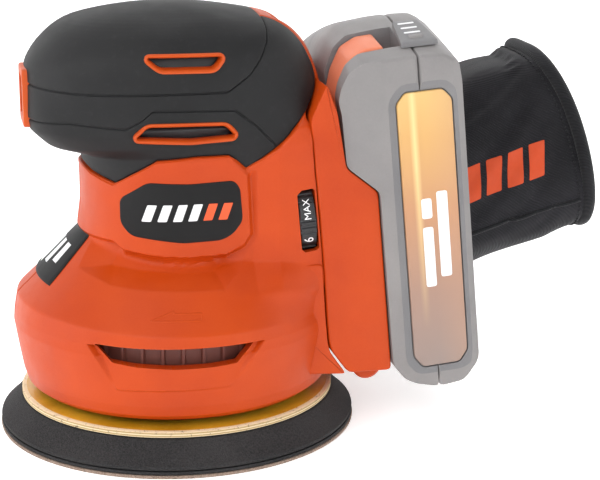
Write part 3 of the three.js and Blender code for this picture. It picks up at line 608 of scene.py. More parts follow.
def foam(name):
    """Closed-cell foam with a fine open grain."""
    s = Shader(name)
    cells = s.node("ShaderNodeTexVoronoi", {"Vector": s.space, "Scale": 2100.0}).outputs["Distance"]
    grain = s.noise(1700, 4, 0.7)
    base = s.mix(s.spread(grain, 0, 1, 0.3, 0.7), rgb(18, 18, 19), rgb(56, 55, 56))
    base = s.mix(s.spread(s.noise(30, 4), 0, 0.2, 0.4, 0.7), base, rgb(76, 74, 74))
    s.set(Base_Color=base, Roughness=0.88, Specular_IOR_Level=0.3)
    s.bump((cells, 0.00025, 0.5), (grain, 0.0003, 0.6))
    return s.material


def grit(name):
    """Abrasive paper: brown-grey grains with darker patches."""
    s = Shader(name)
    grains = s.node("ShaderNodeTexVoronoi", {"Vector": s.space, "Scale": 2600.0})
    base = s.mix(s.spread(grains.outputs["Distance"], 0, 1, 0.1, 0.6), rgb(92, 70, 58), rgb(158, 138, 124))
    base = s.mix(s.spread(s.noise(900, 4), 0, 0.5, 0.5, 0.7), base, rgb(60, 50, 46))
    s.set(Base_Color=base, Roughness=0.9, Specular_IOR_Level=0.35)
    s.bump((grains.outputs["Distance"], 0.0002, 0.8))
    return s.material


def twill(name, colour, light, shade):
    """Diagonal twill in the bag's own leaning frame, with lint and faded ridges."""
    s = Shader(name)
    turned = s.node("ShaderNodeMapping", {"Vector": s.space, "Rotation": (0.0, BAG_TILT, 0.0)})
    parts = s.node("ShaderNodeSeparateXYZ", {"Vector": turned.outputs["Vector"]})
    along, across, up = parts.outputs["X"], parts.outputs["Y"], parts.outputs["Z"]
    level = s.math("ADD", up, across)
    diagonal = s.math("ADD", s.math("MULTIPLY", along, 1.0), s.math("MULTIPLY", level, 1.0))
    drift = s.math("MULTIPLY", s.noise(120, 2), 0.0006)
    rib = s.math("SINE", s.math("MULTIPLY", s.math("ADD", diagonal, drift), 4700.0))
    thread = s.math("SINE", s.math("MULTIPLY", s.math("SUBTRACT", along, level), 7900.0))
    weave = s.math("ADD", s.spread(rib, 0, 0.75, -1, 1), s.spread(thread, 0, 0.25, -1, 1))
    base = s.mix(weave, shade, colour)
    lint = s.spread(s.noise(1500, 4, 0.7), 0, 0.4, 0.6, 0.75)
    base = s.mix(lint, base, light)
    base = s.mix(s.spread(s.noise(18, 4), 0, 0.3, 0.4, 0.7), base, light)
    s.set(Base_Color=base, Roughness=0.92, Specular_IOR_Level=0.25)
    s.set(Sheen_Weight=0.12, Sheen_Roughness=0.5)
    s.bump((weave, 0.00022, 0.65), (s.noise(60, 3), 0.0006, 0.25))
    return s.material


def metal(name, colour, rough=0.3, turned=900.0):
    """Turned or ground metal with fine rings and smudges."""
    s = Shader(name)
    parts = s.node("ShaderNodeSeparateXYZ", {"Vector": s.space})
    rings = s.math("SINE", s.math("MULTIPLY", parts.outputs["Z"], turned * 20))
    base = s.mix(s.spread(s.noise(120, 5), 0, 1), colour, tuple(0.65 * c for c in colour[:3]) + (1.0,))
    s.set(Base_Color=base, Metallic=1.0, Roughness=s.spread(s.noise(300, 5), rough - 0.08, rough + 0.15))
    s.bump((rings, 0.00001, 0.3))
    return s.material


def amber_panel(name):
    """The battery's inlay: amber at the top fading to grey-pink below, with a painted highlight along a soft
    vertical crease.
    """
    s = Shader(name)
    turn = s.node("ShaderNodeMapping", {"Vector": s.space, "Rotation": (0.0, TILT, 0.0)}).outputs["Vector"]
    parts = s.node("ShaderNodeSeparateXYZ", {"Vector": turn})
    out, up = parts.outputs["X"], parts.outputs["Z"]
    height = s.spread(s.math("ADD", up, s.math("MULTIPLY", s.noise(20, 2), 0.012)), 0, 1, 0.014, 0.118)
    ramp_node = s.node("ShaderNodeValToRGB", {"Fac": height})
    stops = ramp_node.color_ramp.elements
    stops[0].color, stops[1].color = rgb(136, 126, 122), rgb(216, 176, 110)
    for at, colour in ((0.35, rgb(158, 126, 110)), (0.62, rgb(186, 136, 98)), (0.86, rgb(206, 160, 98))):
        stops.new(at).color = colour
    # Painted highlight: a light streak along the fold line, strongest in the upper part of the inlay.
    crease = s.math("ABSOLUTE", s.math("SUBTRACT", out, 0.0842))
    painted_crease_highlight = s.math("MULTIPLY", s.spread(crease, 0.8, 0.0, 0.0, 0.0016), s.spread(up, 0.0, 1.0, 0.03, 0.09))
    base = s.mix(painted_crease_highlight, ramp_node.outputs["Color"], rgb(236, 208, 146))
    side = s.spread(out, 0.0, 0.35, 0.088, 0.0985)
    s.set(Base_Color=s.mix(side, base, rgb(184, 140, 112)), Roughness=s.spread(s.noise(200, 4), 0.3, 0.42))
    s.bump((s.noise(2400, 2), 0.00002, 0.25))
    return s.material


def printed(name, colour, rough=0.5):
    s = Shader(name)
    base = s.mix(s.spread(s.noise(500, 4), 0, 0.25), colour, tuple(0.8 * c for c in colour[:3]) + (1.0,))
    s.set(Base_Color=base, Roughness=s.spread(s.noise(300, 3), rough - 0.06, rough + 0.08))
    s.bump((s.noise(1800, 2), 0.00002, 0.3))
    return s.material


def lit_paper(name):
    """White studio paper with a little light of its own, as if lit from behind."""
    s = Shader(name)
    base = s.mix(s.spread(s.noise(3, 2), 0, 1), rgb(250, 250, 250), rgb(254, 254, 254))
    s.set(Base_Color=base, Roughness=0.8, Specular_IOR_Level=0.1)
    s.set(Emission_Color=(1.0, 1.0, 1.0, 1.0), Emission_Strength=0.5)
    return s.material


def board_green(name):
    s = Shader(name)
    tracks = s.node("ShaderNodeTexBrick", {"Vector": s.space, "Scale": 240.0, "Color1": rgb(26, 92, 52),
                                           "Color2": rgb(22, 80, 46), "Mortar": rgb(60, 130, 80)})
    s.set(Base_Color=tracks.outputs["Color"], Roughness=s.spread(s.noise(200, 3), 0.3, 0.45))
    s.bump((tracks.outputs["Fac"], 0.00003, 0.4))
    return s.material


ORANGE = moulded("orange_shell", rgb(188, 64, 2), rgb(176, 55, 0), rgb(212, 100, 44), 0.44)
DEEP_ORANGE = moulded("deep_orange", rgb(186, 44, 2), rgb(170, 34, 0), rgb(210, 80, 34), 0.4)
RIM_ORANGE = moulded("rim_orange", rgb(190, 74, 14), rgb(178, 62, 8), rgb(216, 114, 62), 0.42)
SOFT = soft_touch("black_soft", rgb(30, 30, 31), rgb(22, 22, 23), rgb(56, 56, 58))
BLACK = plain_black("black_plastic")
GOLD = gold_top("gold_plate")
LAYERS = layered_edge("plate_edge")
FOAM = foam("foam_black")
GRIT = grit("abrasive")
STEEL = metal("steel", rgb(178, 180, 184))
COPPER = metal("copper", rgb(190, 116, 70), 0.35)
CASE = moulded("battery_grey", rgb(136, 133, 132), rgb(126, 123, 123), rgb(164, 161, 160), 0.4, 2600)
CASE_DARK = moulded("battery_frame_grey", rgb(122, 121, 122), rgb(113, 112, 114), rgb(148, 147, 148), 0.4)
LATCH = moulded("latch_salmon", rgb(222, 134, 100), rgb(214, 118, 86), rgb(238, 164, 132), 0.38)
AMBER = amber_panel("battery_amber")
TWILL = twill("bag_fabric", rgb(28, 27, 31), rgb(74, 73, 79), rgb(12, 11, 14))
PIPING = twill("bag_piping_fabric", rgb(30, 30, 33), rgb(58, 58, 62), rgb(14, 14, 16))
WHITE = printed("print_white", rgb(236, 236, 238))
ORANGE_INK = printed("print_orange", rgb(226, 84, 34))
BOARD = board_green("board_green")
WRAP = printed("cell_wrap", rgb(44, 120, 100), 0.35)
SOFT_PLATE = soft_touch("label_black", rgb(16, 16, 17), rgb(11, 11, 12), rgb(36, 36, 38))
FAN = printed("fan_maroon", rgb(112, 62, 52), 0.5)
ORANGE_CLOTH = printed("print_orange_cloth", rgb(200, 72, 30), 0.8)
FLOOR_PAPER = lit_paper("floor_paper")


# ---------------------------------------------------------------- housing and grip
def half_angle(u, t):
    """Columns from the front centre line round the -Y side to the rear."""
    start = -math.pi + SKIN_GAP / 40
    return start + u * (math.pi - SKIN_GAP / 40 - rear_angle(t))


def fine_columns(count):
    return edge_spread(count, 140, EDGE * 1.3)


def build_shells():
    for side, mirrored in (("left", False), ("right", True)):
        columns = fine_columns(350)
        shell = skin_panel(f"shell_skin_{side}", ORANGE, columns, half_angle, None, above_soft_edge,
                           (0.0, TOP - 2), 240, raised=True, mirrored=mirrored)
        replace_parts(shell, f"shell_{side}")
        cut_opening(shell, SLOT, 4.5, 1 if mirrored else -1)
        if not mirrored:
            cut_opening(shell, DIAL_WINDOW, 3.0)
        low, high = (21, 36.2) if mirrored else (-36.2, -21)
        flank = bevelled_slab(f"shell_flank_{side}", rounded(FLANK, 1.2, 1.0), low, high, 0.7, ORANGE)


def build_grip():
    around = lambda u, t: u * 2 * math.pi + 0 * t
    ring_columns = np.arange(300) / 300
    cushion = skin_panel("palm_skin", SOFT, ring_columns, around, inside_palm, None, (MID_GRIP, TOP), 90,
                         wrap=True)
    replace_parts(cushion, "palm_cushion")
    for side, mirrored in (("left", False), ("right", True)):
        columns = fine_columns(220)
        band = skin_panel(f"band_skin_{side}", SOFT, columns, half_angle, above_band_low, inside_palm,
                          (11, TOP - 0.3), 60, mirrored=mirrored, sides=(False, True))
        throat = skin_panel(f"throat_skin_{side}", SOFT, columns, half_angle, above_soft_edge,
                            above_band_low, (8, TOP - 3), 60, mirrored=mirrored, sides=(False, True))
        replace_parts(band, f"grip_band_{side}")
        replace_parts(throat, f"throat_grip_{side}")
        sign = 1 if mirrored else -1
        cut_opening(cushion, grown(rounded(UPPER_VENT, 1.2), 0.9), 3.0, sign)
        cut_opening(throat, grown(rounded(LOWER_VENT, 1.2), 0.9), 3.0, sign)
        for name, outline in (("upper", UPPER_VENT), ("lower", LOWER_VENT)):
            loop = rounded(outline, 1.6, 0.4)
            profile = [(1.3, -1.5), (1.3, 0.1), (1.15, 0.42), (0.8, 0.55), (0.45, 0.42), (0.2, 0.1),
                       (-0.1, -0.8), (-0.35, -3.4), (0.2, -4.2)]
            trim = rim_piece(f"{name}_vent_rim_{side}", loop, profile, RIM_ORANGE, mirrored=mirrored)
            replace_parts(trim, f"{name}_vent_trim_{side}")
            baffle = plate_piece(f"{name}_vent_baffle_{side}", grown(loop, 0.4), -4.6, 0.2, BLACK,
                                 mirrored=mirrored, sink=0.6)


def build_spine():
    """Orange piece at the rear top of the grip: a light rim round a sunken deep-orange channel."""
    columns = edge_spread(60, 32, 0.7)
    angle = lambda u, t: math.radians(20.6) * (2 * u - 1) + 0 * t
    points, normal = panel_grid(columns, angle, None, inside_palm, (MID_GRIP - 0.4, TOP - 0.3), 70)
    u = np.broadcast_to(columns, points.shape[:2])
    v = np.linspace(0, 1, points.shape[0])[:, None] * np.ones_like(u)
    inside = ramp(0.5 - np.abs(u - 0.5), 0.09, 0.2) * ramp(1 - v, 0.07, 0.17)
    sunk = points - normal * (3.2 * inside)[..., None]
    grid = turned_in(sunk, normal)
    faces = grid_faces(grid.shape[0], grid.shape[1])
    spine = make("spine_trim", grid.reshape(-1, 3), faces, RIM_ORANGE)
    spine.data.materials.append(DEEP_ORANGE)
    depth = np.pad(inside, ((1, 1), (1, 1))).ravel()
    for face in spine.data.polygons:
        if min(depth[v] for v in face.vertices) > 0.35:
            face.material_index = 1
    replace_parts(spine, "rear_spine_trim")


def build_plates():
    outline = rounded(PLATE, 2.0, 0.5)
    for side, mirrored in (("left", False), ("right", True)):
        plate = plate_piece(f"plate_{side}", outline, 0.35, 0.35, SOFT_PLATE, mirrored=mirrored)
        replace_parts(plate, f"name_plate_{side}")
        for i in range(6):
            left = -15.4 + i * 5.0
            corners = [(left, 79.2), (left + 3.0, 79.2), (left + 5.0, 84.8), (left + 2.0, 84.8)]
            bar = rounded(corners, 0.3, 0.4)
            ink = WHITE if i < 4 else ORANGE_INK
            mark = plate_piece(f"plate_bar_{side}_{i + 1}", bar, 0.43, 0.05, ink, mirrored=mirrored, sink=0.2)
    arrow = rounded([(-15.2, 50.0), (-7.2, 52.6), (-7.6, 51.9), (1.6, 51.7), (1.3, 49.9)], 0.25, 0.35)
    profile = [(0.25, -0.4), (0.25, 0.12), (0.0, 0.22), (-0.25, 0.12), (-0.3, -0.4)]
    for side, mirrored in (("left", False), ("right", True)):
        rim_piece(f"arrow_{side}", arrow, profile, ORANGE, mirrored=mirrored)


def build_front_label():
    """Black label wrapped over the front of the deck, up to the foot of the neck."""
    columns = np.linspace(math.pi - 0.36, math.pi + 0.36, 61)
    rows = np.linspace(6.62, 8.02, 50)
    t = rows[:, None] + 0 * columns
    theta = columns + 0 * t
    points, normal = with_normals(theta, t)
    label = 0.3 * ramp(np.minimum(np.arange(61), 60 - np.arange(61)), 0, 2)[None, :]
    label = label * ramp(np.minimum(np.arange(50), 49 - np.arange(50)), 0, 2)[:, None]
    raised = points + normal * (label + 0.25)[..., None]
    grid = turned_in(raised, normal, by=1.2)
    piece = make("deck_label", grid.reshape(-1, 3), grid_faces(*grid.shape[:2]), SOFT_PLATE)
    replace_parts(piece, "front_label")
    for i in range(3):
        centre = math.pi + 0.17 * (i - 1)
        strip_u = np.linspace(centre - 0.05, centre + 0.05, 8)
        strip_t = np.linspace(6.8 + 0.15 * i, 7.6, 16)[:, None] + 0 * strip_u
        mark, out = with_normals(strip_u + 0 * strip_t, strip_t)
        mark = mark + out * 0.62
        bar = make(f"deck_label_bar_{i + 1}", mark.reshape(-1, 3), grid_faces(16, 8), WHITE)


# ---------------------------------------------------------------- solids drawn in the side view
def tidy_normals(piece, sharp=30, merge=1e-6):
    work = bmesh.new()
    work.from_mesh(piece.data)
    bmesh.ops.remove_doubles(work, verts=work.verts, dist=merge)
    bmesh.ops.recalc_face_normals(work, faces=work.faces)
    work.to_mesh(piece.data)
    work.free()
    piece.data.set_sharp_from_angle(angle=math.radians(sharp))
    return piece


def bevelled_slab(name, outline, y_low, y_high, bevel, material, body="tool", segments=4, between=0,
                  place=None, sharp=30):
    """A slab with its outline in the side view and rounded edges. place moves its points."""
    loop = np.asarray(outline, float)
    turns = [math.pi / 2 * k / segments for k in range(segments + 1)]
    low = [(y_low + bevel * (1 - math.cos(a)), bevel * (1 - math.sin(a))) for a in turns]
    middle = [(y, 0.0) for y in np.linspace(y_low + bevel, y_high - bevel, between + 2)[1:-1]]
    high = [(y_low + y_high - y, inset) for y, inset in low[::-1]]
    sections = low + middle + high
    rings = []
    for y, inset in sections:
        edge = grown(loop, -inset)
        rings.append(np.stack([edge[:, 0], np.full(len(loop), y), edge[:, 1]], -1))
    flat = np.concatenate(rings)
    if place is not None:
        flat = place(flat)
    count = len(loop)
    faces = list(grid_faces(len(sections), count, wrap=True))
    faces.append(list(range(count)))
    faces.append(list(range((len(sections) - 1) * count, len(sections) * count)))
    return tidy_normals(make(name, flat, faces, material, body), sharp)


def applied(piece):
    """The piece's mesh with its modifiers applied."""
    bpy.context.view_layer.update()
    return bpy.data.meshes.new_from_object(piece.evaluated_get(bpy.context.evaluated_depsgraph_get()))


def carve(piece, tool, sharp):
    """Boolean of one piece by a throwaway tool object; the tool's material comes with its faces."""
    if tool.data.materials[0].name not in piece.data.materials:
        piece.data.materials.append(tool.data.materials[0])
    tool_slot = piece.data.materials.find(tool.data.materials[0].name)
    tool.data.materials.clear()
    for slot in piece.data.materials:
        tool.data.materials.append(slot)
    for face in tool.data.polygons:
        face.material_index = tool_slot
    cut = piece.modifiers.new("cut", "BOOLEAN")
    cut.object, cut.solver, cut.operation = tool, "EXACT", "DIFFERENCE"
    result = applied(piece)
    piece.modifiers.clear()
    piece.data = result
    bpy.data.objects.remove(tool)
    result.set_sharp_from_angle(angle=math.radians(sharp))
    return piece


def tool_object(name, points, faces, material):
    """A closed mesh used only to carve others."""
    mesh = bpy.data.meshes.new(name)
    mesh.from_pydata((np.asarray(points, float) * MM).tolist(), [], [list(map(int, f)) for f in faces])
    mesh.materials.append(material)
    made = bpy.data.objects.new(name, mesh)
    bpy.context.scene.collection.objects.link(made)
    work = bmesh.new()
    work.from_mesh(mesh)
    bmesh.ops.recalc_face_normals(work, faces=work.faces)
    work.to_mesh(mesh)
    work.free()
    return made


def stacked(loops, name, material, place=None):
    """A closed carving tool from loops of (x, y, z) with the same count."""
    count = len(loops[0])
    points = np.concatenate(loops)
    if place is not None:
        points = place(points)
    faces = list(grid_faces(len(loops), count, wrap=True))
    faces += [list(range(count)), list(range((len(loops) - 1) * count, len(loops) * count))]
    return tool_object(name, points, faces, material)


def tilted(points, angle):
    """Turns points about the cross axis, nose down for a positive angle."""
    x, y, z = np.moveaxis(np.asarray(points, float), -1, 0)
    cos, sin = math.cos(angle), math.sin(angle)
    return np.stack([x * cos - z * sin, y, x * sin + z * cos], -1)


def leaning(points):
    """From the battery's own frame (outward, across, along) to the row frame."""
    return tilted(points, TILT)


def rising(points):
    """From the bag's own frame (along, across, up) to the row frame."""
    return tilted(points, BAG_TILT)


def build_rear_housing():
    outline = [(54, 22.8), (69.2, 22.8), (63.8, 85.9), (52.9, 94.3), (52.1, 99), (49.7, 113.5), (46.1, 123),
               (40.6, 111.2), (42.9, 89.1), (45, 65.4), (46.4, 42.7), (47.1, 34.5), (48.0, 30.9),
               (50.7, 27.2)]
    piece = bevelled_slab("rear_housing_skin", rounded(outline, 1.6, 1.0), -36, 36, 0.8, ORANGE)
    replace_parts(piece, "rear_housing")
    rails = [("stem", (70, 72.9), 18), ("head", (72.4, 74.6), 22)]
    for part, (t0, t1), half in rails:
        loop = rounded([(t0, 24), (t1, 24), (t1, 77), (t0, 77)], 0.8, 1.5)
        rail = bevelled_slab(f"mount_rail_{part}", loop, -half, half, 0.5, BLACK, place=leaning)
    lug = lathe("mount_lug", [(0, -6.5), (4.4, -6.5), (5.2, -5.7), (5.2, 5.7), (4.4, 6.5), (0, 6.5)], ORANGE,
                turn=lambda p: np.stack([p[..., 0] + 61.8, p[..., 2] - 24, p[..., 1] + 23.4], -1))


def lathe(name, profile, material, body="tool", turn=None, segments=96, centre=(0, 0), sharp=30):
    """A turned piece. The profile lists (radius, height) and may be closed by repeating its start."""
    angle = np.linspace(0, 2 * math.pi, segments, endpoint=False)
    rows = [np.stack([r * np.cos(angle) + centre[0], r * np.sin(angle) + centre[1], np.full(segments, h)], -1)
            for r, h in profile]
    points = np.concatenate(rows)
    if turn is not None:
        points = turn(points)
    piece = make(name, points, grid_faces(len(profile), segments, wrap=True), material, body, sharp=sharp)
    return tidy_normals(piece, sharp)


def arc(cx, cz, radius, start, end, count=5):
    """Points of a profile's rounded corner, angles in degrees."""
    angles = np.radians(np.linspace(start, end, count))
    return [(cx + radius * math.cos(a), cz + radius * math.sin(a)) for a in angles]


# ---------------------------------------------------------------- pad
def drill(piece, radius=4.6, circle=32.5, low=-5, high=30):
    """The eight dust holes."""
    turn = np.linspace(0, 2 * math.pi, 32, endpoint=False)
    for i in range(8):
        angle = (i + 0.5) / 8 * 2 * math.pi
        x = circle * math.cos(angle) + radius * np.cos(turn)
        y = circle * math.sin(angle) + radius * np.sin(turn)
        loops = [np.stack([x, y, np.full(len(turn), float(height))], -1) for height in (low, high)]
        carve(piece, stacked(loops, "drill", piece.data.materials[0]), sharp=35)


def build_pad():
    disc = lathe("disc_skin", [(0, 0), (61.9, 0), (62.35, 0.25), (62.45, 0.8), (62.2, 1.15), (0, 1.15)], GRIT,
                 "pad", segments=160)
    hooks = lathe("hook_skin", [(0, 1.3), (61.9, 1.3), (62.25, 1.7), (62.1, 2.4), (0, 2.4)], FOAM, "pad",
                  segments=160)
    cone = [(8.6, 2.6), (61.4, 2.6), *arc(61.2, 3.6, 1.0, -90, 30), (60.2, 5.6), (57.6, 8.4),
            *arc(54.6, 10.1, 0.9, 30, 90, 4), (8.6, 11.05), (8.6, 2.6)]
    cushion = lathe("foam_skin", cone, FOAM, "pad", segments=200)
    plate = lathe("plate_edge", [(4.2, 11.2), (54.1, 11.2), (54.7, 11.5), (54.75, 13.0), (54.2, 13.32),
                                 (4.2, 13.32), (4.2, 11.2)], LAYERS, "pad", segments=200)
    top = lathe("plate_top", [(4.4, 13.3), (52.9, 13.3), (53.2, 13.42), (52.9, 13.55), (4.4, 13.55),
                              (4.4, 13.3)], GOLD, "pad", segments=160)
    for piece, node, slot in ((disc, "sanding_disc", "abrasive"), (hooks, "hook_layer", "foam_black"),
                              (cushion, "foam_cushion", "foam_black"), (plate, "backing_plate", "gold_plate")):
        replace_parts(piece, node)
        drill(piece)
    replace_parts(top, "backing_plate")
    drill(top)
    skirt = [(41.8, 13.9), (44.6, 13.7), (45, 14.4), (44.6, 16), (44.9, 19.4), (42.2, 19.4), (41.8, 13.9)]
    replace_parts(lathe("skirt_skin", skirt, SOFT), "brake_skirt")


def build_fan():
    """Dust fan behind the vent slot: a disc with curved blades."""
    points, faces = [], []
    blades, steps = 18, 8
    for i in range(blades):
        start = len(points)
        for k in range(steps + 1):
            f = k / steps
            radius = 16 + 26.3 * f
            angle = i / blades * 2 * math.pi + 0.35 * f
            for side in (-1, 1):
                swing = angle + side * 0.65 / radius
                for height in (33.7, 44.4):
                    points.append((radius * math.cos(swing) - 1.2, radius * math.sin(swing), height))
        for k in range(steps):
            a = start + 4 * k
            faces += [(a, a + 4, a + 5, a + 1), (a + 2, a + 3, a + 7, a + 6), (a, a + 2, a + 6, a + 4),
                      (a + 1, a + 5, a + 7, a + 3)]
        faces += [(start, start + 1, start + 3, start + 2),
                  (start + 4 * steps, start + 4 * steps + 2, start + 4 * steps + 3, start + 4 * steps + 1)]
    vanes = make("fan_blades", points, faces, FAN, "rotor", sharp=30)
    disc = [(4.3, 44.1), (42.4, 44.1), (42.8, 44.5), (42.8, 45.2), (42.4, 45.6), (12, 45.6), (9, 45.2),
            (9, 46), (4.3, 46), (4.3, 44.1)]
    hub = lathe("fan_disc", disc, FAN, "rotor", centre=(-1.2, 0))
    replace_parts(vanes, "dust_fan")
    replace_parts(hub, "dust_fan")
    for name, height, reach in (("fan_floor", 31.2, 53), ("fan_roof", 46.3, 52)):
        ring = [(14, height), (reach, height), (reach, height + 0.8), (14, height + 0.8), (14, height)]
        lathe(name, ring, BLACK)
    build_guard()


def build_guard():
    """Ribbed ring that stands between the fan and the slots."""
    count, ribs = 720, 45
    turn = np.linspace(0, 2 * math.pi, count, endpoint=False)
    rib = 1.3 * (np.arange(count) % (count // ribs) < 3)
    rings = []
    for height, drop, use in ((32.2, 1.6, 0), (32.2, 0, 1), (46.2, 0, 1), (46.2, 1.6, 0)):
        reach = 47.4 - drop + rib * use
        rings.append(np.stack([reach * np.cos(turn), reach * np.sin(turn), np.full(count, height)], -1))
    points = np.concatenate(rings + rings[:1])
    guard = make("fan_guard", points, grid_faces(5, count, wrap=True), FAN, sharp=30)
    tidy_normals(guard)


# ---------------------------------------------------------------- controls
def text_piece(name, words, size, place, material, body, lift):
    """Generic marking on the dial, bent round the wheel by its placing function."""
    curve = bpy.data.curves.new(name, "FONT")
    curve.body, curve.size, curve.align_x, curve.align_y = words, size, "CENTER", "CENTER"
    curve.extrude = 0
    holder = bpy.data.objects.new(name, curve)
    bpy.context.scene.collection.objects.link(holder)
    bpy.context.view_layer.update()
    mesh = bpy.data.meshes.new_from_object(holder.evaluated_get(bpy.context.evaluated_depsgraph_get()))
    bpy.data.objects.remove(holder)
    work = bmesh.new()
    work.from_mesh(mesh)
    bmesh.ops.subdivide_edges(work, edges=work.edges, cuts=2)
    bmesh.ops.triangulate(work, faces=work.faces)
    points = np.array([v.co for v in work.verts])
    work.verts.index_update()
    faces = [[v.index for v in f.verts] for f in work.faces]
    work.free()
    return make(name, place(points[:, 0], points[:, 1], lift), faces, material, body)


def build_dial():
    centre, radius, half = np.array((39.8, -22.6, 77.2)), 13.75, 2.8
    count = 240
    cos, sin = math.cos(TILT), math.sin(TILT)

    def on_wheel(across, angle, reach):
        """A point of the wheel: across its width, round from straight out (-Y), at a radius."""
        y, up = -reach * np.cos(angle), reach * np.sin(angle)
        return np.stack([centre[0] + across * cos - up * sin, centre[1] + y, centre[2] + across * sin + up * cos],
                        -1)

    angles = np.linspace(0, 2 * math.pi, count, endpoint=False)
    plain = (np.abs((angles + math.pi) % (2 * math.pi) - math.pi - 0.30) < 0.17)
    plain |= np.abs((angles + math.pi) % (2 * math.pi) - math.pi + 0.50) < 0.15
    ridge = np.where(plain, 0.15, -0.42 * (np.arange(count) % 6 < 3))
    rows = []
    for across, inset, use in ((-half, 9.0, 0), (-half, 0.5, 0), (-half + 0.35, 0, 1), (half - 0.35, 0, 1),
                               (half, 0.5, 0), (half, 9.0, 0)):
        rows.append(on_wheel(np.full(count, across), angles, radius - inset + ridge * use))
    wheel = make("dial_wheel", np.concatenate(rows), grid_faces(len(rows), count, wrap=True, flip=True), BLACK,
                 "dial", sharp=30)
    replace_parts(wheel, "speed_dial")
    for name, words, at, size in (("dial_mark_high", "MAX", 0.30, 3.3), ("dial_mark_six", "6", -0.50, 4.6)):
        def place(u, v, lift, at=at):
            return on_wheel(-v, at + u / radius, radius + 0.15 + lift)
        text_piece(name, words, size, place, WHITE, "dial", 0.06)


def build_nose_switch():
    """Rocker in an upright bezel on the nose."""
    outer = rounded([(-9.6, 107.2), (9.6, 107.2), (9.6, 126.8), (-9.6, 126.8)], 3.0, 0.6)
    loops = []
    for growth, lift in ((0, 46.6), (0, 50.4), (-0.25, 50.85), (-0.7, 51.0), (-2.6, 51.0), (-3.0, 50.8),
                         (-3.15, 50.4), (-3.2, 46.6)):
        loop = grown(outer, growth)
        loops.append(np.stack([np.full(len(loop), -lift), -loop[:, 0], loop[:, 1]], -1))
    rows = loops + loops[:1]
    bezel = make("switch_bezel_skin", np.concatenate(rows), grid_faces(len(rows), len(outer), wrap=True),
                 RIM_ORANGE)
    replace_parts(bezel, "switch_bezel")
    count = 24
    heights = np.linspace(111.3, 122.7, count)
    rock = 50.2 - 1.5 * np.cos((heights - 117) / 5.7 * math.pi / 2) ** 2
    width = np.array([-5.7, -5.5, -5.0, 0, 5.0, 5.5, 5.7])
    drop = np.array([2.2, 0.5, 0, 0.25, 0, 0.5, 2.2])
    grid = np.stack([-(rock[:, None] - drop), width + 0 * rock[:, None], heights[:, None] + 0 * width], -1)
    rocker = make("rocker_skin", grid.reshape(-1, 3), grid_faces(count, 7), BLACK, "rocker")
    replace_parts(rocker, "switch_rocker")
    for i, height in enumerate((113.6, 120.4)):
        line = lathe(f"rocker_mark_{i + 1}", [(0.9, 0), (1.35, 0), (1.35, 0.12), (0.9, 0.12), (0.9, 0)] if i
                     else [(0, 0), (0.35, 0), (0.35, 0.12), (0, 0.12)], WHITE, "rocker", segments=32,
                     turn=lambda p, h=height: np.stack([-p[..., 2] - 49.75, p[..., 0], p[..., 1] + h], -1))


# ---------------------------------------------------------------- battery
TOOL_CASE = [(79.2, 10.5), (75.5, 12.6), (72.2, 17.4), (71.4, 20), (71.4, 80), (61.2, 89.6), (60.9, 108.9),
             (60.2, 115), (61.4, 121), (64.5, 128.4), (69, 132.3), (80, 133.3),
             (PARTING - CASE_GAP, RIDGE), (PARTING - CASE_GAP, 8.2)]
OUTER_CASE = [(PARTING + CASE_GAP, 8.2), (96.3, 9.1), (102.4, 16.4), (102.3, 118.6), (101.4, 128.2), (96, 132.9),
              (PARTING + CASE_GAP, RIDGE)]
INLAY = [(82, 16.5), (95, 16.5), (98, 20.5), (98, 109), (95, 112.5), (82, 112.5), (79, 109), (79, 20.5)]


def roof(y):
    """Height of the battery's top across its width."""
    return RIDGE - ROOF_DROP * (np.abs(y) / BATTERY_HALF) ** 1.2


def shouldered(points):
    """The battery's top falls away to both sides of its ridge."""
    t, y, s = np.moveaxis(np.array(points, float), -1, 0)
    s = s - (RIDGE - roof(y)) * np.clip((s - 104) / (RIDGE - 104), 0, 1)
    return leaning(np.stack([t, y, s], -1))


def shave(piece, corner, outward):
    """Cuts a flat facet off a case: all beyond the plane through corner goes. Battery frame."""
    work = bmesh.new()
    work.from_mesh(piece.data)
    where, facing = leaning(corner) * MM, leaning(outward)
    everything = work.verts[:] + work.edges[:] + work.faces[:]
    cut = bmesh.ops.bisect_plane(work, geom=everything, plane_co=where, plane_no=facing, clear_outer=True)
    rim = [g for g in cut["geom_cut"] if isinstance(g, bmesh.types.BMEdge)]
    bmesh.ops.edgeloop_fill(work, edges=rim)
    bmesh.ops.recalc_face_normals(work, faces=work.faces)
    work.to_mesh(piece.data)
    work.free()


def facet_case(piece):
    """Chamfers down the long edges and round the foot, the same on both sides."""
    for side in (-1, 1):
        shave(piece, (76.5, side * BATTERY_HALF, 90), (-0.2, side, 0))
        shave(piece, (98.9, side * BATTERY_HALF, 90), (0.55, side, 0))
        shave(piece, (88, side * BATTERY_HALF, 15.5), (0, side, -0.24))


def octagon_pocket(side):
    """Sunken field round the inlay, with sloping sides, on one face of the battery."""
    loop = rounded(INLAY, 1.0, 1.5)
    steps = ((6.2, 39.5), (3.3, 38.02), (2.9, 37.75), (0.5, 37.05), (0.4, 36.2))
    loops = []
    for growth, y in steps:
        edge = grown(loop, growth)
        loops.append(np.stack([edge[:, 0], np.full(len(edge), side * y), edge[:, 1]], -1))
    return stacked(loops, "pocket", CASE_DARK, leaning)


def battery_box(t, y, s, material):
    """A carving block in the battery's frame."""
    loop = [(t[0], s[0]), (t[1], s[0]), (t[1], s[1]), (t[0], s[1])]
    loops = [np.array([(a, level, b) for a, b in loop], float) for level in y]
    return stacked(loops, "block", material, leaning)


